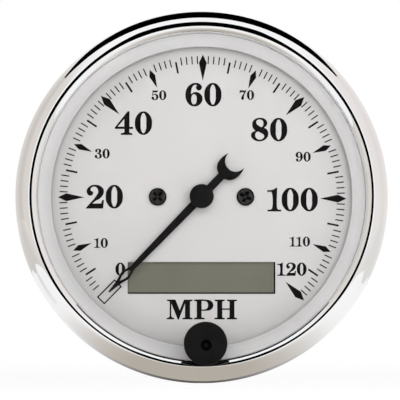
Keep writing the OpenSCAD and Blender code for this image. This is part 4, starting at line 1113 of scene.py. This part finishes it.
# white where it is seen, a little less near the part, and a matt floor that takes its shadow
def makeFloor(size, tone, scale, rough, show, near, far):
    corners = [(x, y, cadBox[0].z) for x, y in boxRing(-size, size, -size, size)]
    floor, tree, matt = stageSheet("floor", "paleFloor", corners)
    drift = placeGroup(tree, toneDrift, Tone=opaque(tone), Other_Tone=opaque(tone), Scale=scale)
    fill(matt, {"Roughness": rough, "Specular IOR Level": 0})
    glow = addNode(tree, "Emission", Strength=1.0)
    place, away = addNode(tree, "TexCoord"), addNode(tree, "VectorMath", "LENGTH")
    share = addNode(tree, "MapRange", From_Min=near, From_Max=far, To_Min=show, To_Max=1.0)
    shown = addNode(tree, "Math", "MULTIPLY")
    link(tree, (drift, "Colour", matt, "Base Color"), (place, "Object", away, 0),
         (away, "Value", share, "Value"), (seenShare(tree), 0, shown, 0), (share, "Result", shown, 1))
    mixSurface(tree, shown.outputs[0], matt, glow)


def makeWorld(fillLight):
    world = bpy.data.worlds.new("studio")
    bpy.context.scene.world = world
    world.use_nodes = True
    tree = world.node_tree
    background = tree.nodes["Background"]
    background.inputs["Color"].default_value = opaque(1)
    level = addNode(tree, "MapRange", To_Min=fillLight, To_Max=1.0)
    link(tree, (seenShare(tree), 0, level, "Value"), (level, "Result", background, "Strength"))


def makeKeyLamp(spot, size, power):
    data = bpy.data.lights.new("keyLamp", "AREA")
    data.shape, data.size, data.energy = "SQUARE", size, power
    lamp = addObject("keyLamp", data)
    lookInFrom(lamp, spot)
    lamp.visible_glossy = lamp.visible_transmission = False


# cards: corners in metres, tone as it shows, and fades, each to another tone from a middle outwards, over a
# reach along each axis and from a start within it
sheetGap = 0.00003
scatterFill = 0.8
tableTop = cadBox[0].z + sheetGap
shadeTop = tableTop + sheetGap
alongTable = ((0, -0.04, 0), (0, 0.22, 0), 0.1)
alongCard = ((0, -0.1, 0), (0, 0.4, 0), 0.1)
upCard = (0.97, (0, 0, 0), (0, 0, 0.9), 0.55)


def onTable(points):
    return [(x, y, tableTop) for x, y in points]


def sideCard(x):
    return [(x, y, z) for y, z in boxRing(-1.6, 0.8, -0.28, 0.95)]


cardForms = {
    "frontCard": {"tone": 0, "corners": [(x, -0.5, z) for x, z in arc(0, 0.034, 0.14, 180, 360, 24) + [
        (0.14, 0.13), (0.113, 0.2), (0.11, 0.335), (-0.11, 0.335), (-0.113, 0.2), (-0.14, 0.13)]]},
    "roofCard": {"tone": 0, "corners": [(x, y, 0.5) for x, y in (
        (-0.52, -0.2), (-0.42, -0.24), (0.42, -0.24), (0.52, -0.2), (0.52, -0.05), (0.35, 0.25), (0.2, 0.4),
        (-0.2, 0.4), (-0.35, 0.25), (-0.52, -0.05))]},
    # beige table seen in the bezel, darker near the part as a painted shadow, fading to near white further
    # off
    "shadedTableCard": {"tone": (0.485, 0.444, 0.385),
                  "fades": [((0.97, 0.965, 0.955), (-0.004, -0.012, 0), (0.056, 0.13, 0), 0.2)],
                  "corners": onTable(boxRing(-0.06, 0.052, -0.4, 0.4))},
    "tableShade": {"tone": (0.11, 0.1, 0.095),
                   "fades": [((0.95, 0.94, 0.93), (-0.002, 0, 0), (0.05, 0, 0), 0)],
                   "corners": [(x / 500, -0.0098 + 5.2 * (x / 500) ** 2, shadeTop) for x in range(-24, 25)]
                   + [(0.048, 0.06, shadeTop), (-0.048, 0.06, shadeTop)]},
    "leftStreak": {"tone": (0.76, 0.75, 0.745), "fades": [(0.96, (-0.09, -0.02, 0), (0.05, 0.02, 0), 0)],
                   "corners": onTable([(-0.11, -0.04), (-0.052, -0.04), (-0.052, 0), (-0.1, 0),
                                       (-0.1, -0.02)])},
    "leftTable": {"tone": (0.67, 0.64, 0.6), "fades": [((0.77, 0.735, 0.695), *alongTable)],
                  "corners": onTable([(-0.6, -1.6), (-0.6, 0.8), (-0.115, 0.8), (-0.11, 0.03), (-0.1, 0),
                                      (-0.1, -0.02), (-0.118, -0.05), (-0.118, -1.6)])},
    "rightTable": {"tone": (0.78, 0.77, 0.74), "fades": [((0.84, 0.83, 0.8), *alongTable)],
                   "corners": onTable([(0.6, -1.6), (0.6, 0.8), (0.104, 0.8), (0.1, 0.03), (0.085, 0),
                                       (0.085, -0.02), (0.105, -0.05), (0.105, -1.6)])},
    "leftCard": {"tone": (0.64, 0.605, 0.565), "fades": [((0.75, 0.71, 0.665), *alongCard), upCard],
                 "corners": sideCard(-0.6)},
    "rightCard": {"tone": (0.82, 0.78, 0.757), "fades": [((0.87, 0.83, 0.805), *alongCard), upCard],
                  "corners": sideCard(0.6)},
}


def makeCard(name, tone, corners, fades=()):
    card, tree = stageSheet(name, name, corners)[:2]
    card.visible_camera = card.visible_diffuse = card.visible_shadow = False
    glow = addNode(tree, "Emission", Color=opaque(tone), Strength=1.0)
    place, before = addNode(tree, "TexCoord"), None
    for fadeTone, middle, reach, start in fades:
        offset, shares = addNode(tree, "VectorMath", "SUBTRACT"), addNode(tree, "VectorMath", "MULTIPLY")
        offset.inputs[1].default_value = middle
        shares.inputs[1].default_value = [1 / length if length else 0 for length in reach]
        away = addNode(tree, "VectorMath", "LENGTH")
        share = addNode(tree, "MapRange", From_Min=start)
        share.interpolation_type = "SMOOTHSTEP"
        blend = addBlend(tree)
        blend.inputs[6].default_value = opaque(tone)
        blend.inputs[7].default_value = opaque(fadeTone)
        link(tree, (place, "Object", offset, 0), (offset, "Vector", shares, 0), (shares, "Vector", away, 0),
             (away, "Value", share, "Value"), (share, "Result", blend, "Factor"), (blend, 2, glow, "Color"))
        if before:
            link(tree, (before, 2, blend, 6))
        before = blend
    pale, rays = addNode(tree, "Emission", Strength=scatterFill), addNode(tree, "LightPath")
    mixSurface(tree, rays.outputs["Diffuse Depth"], glow, pale)


makeFloor(**floorForm)
makeWorld(**worldForm)
makeKeyLamp(**keyForm)
for cardName, cardForm in cardForms.items():
    makeCard(cardName, **cardForm)
print("stage set")
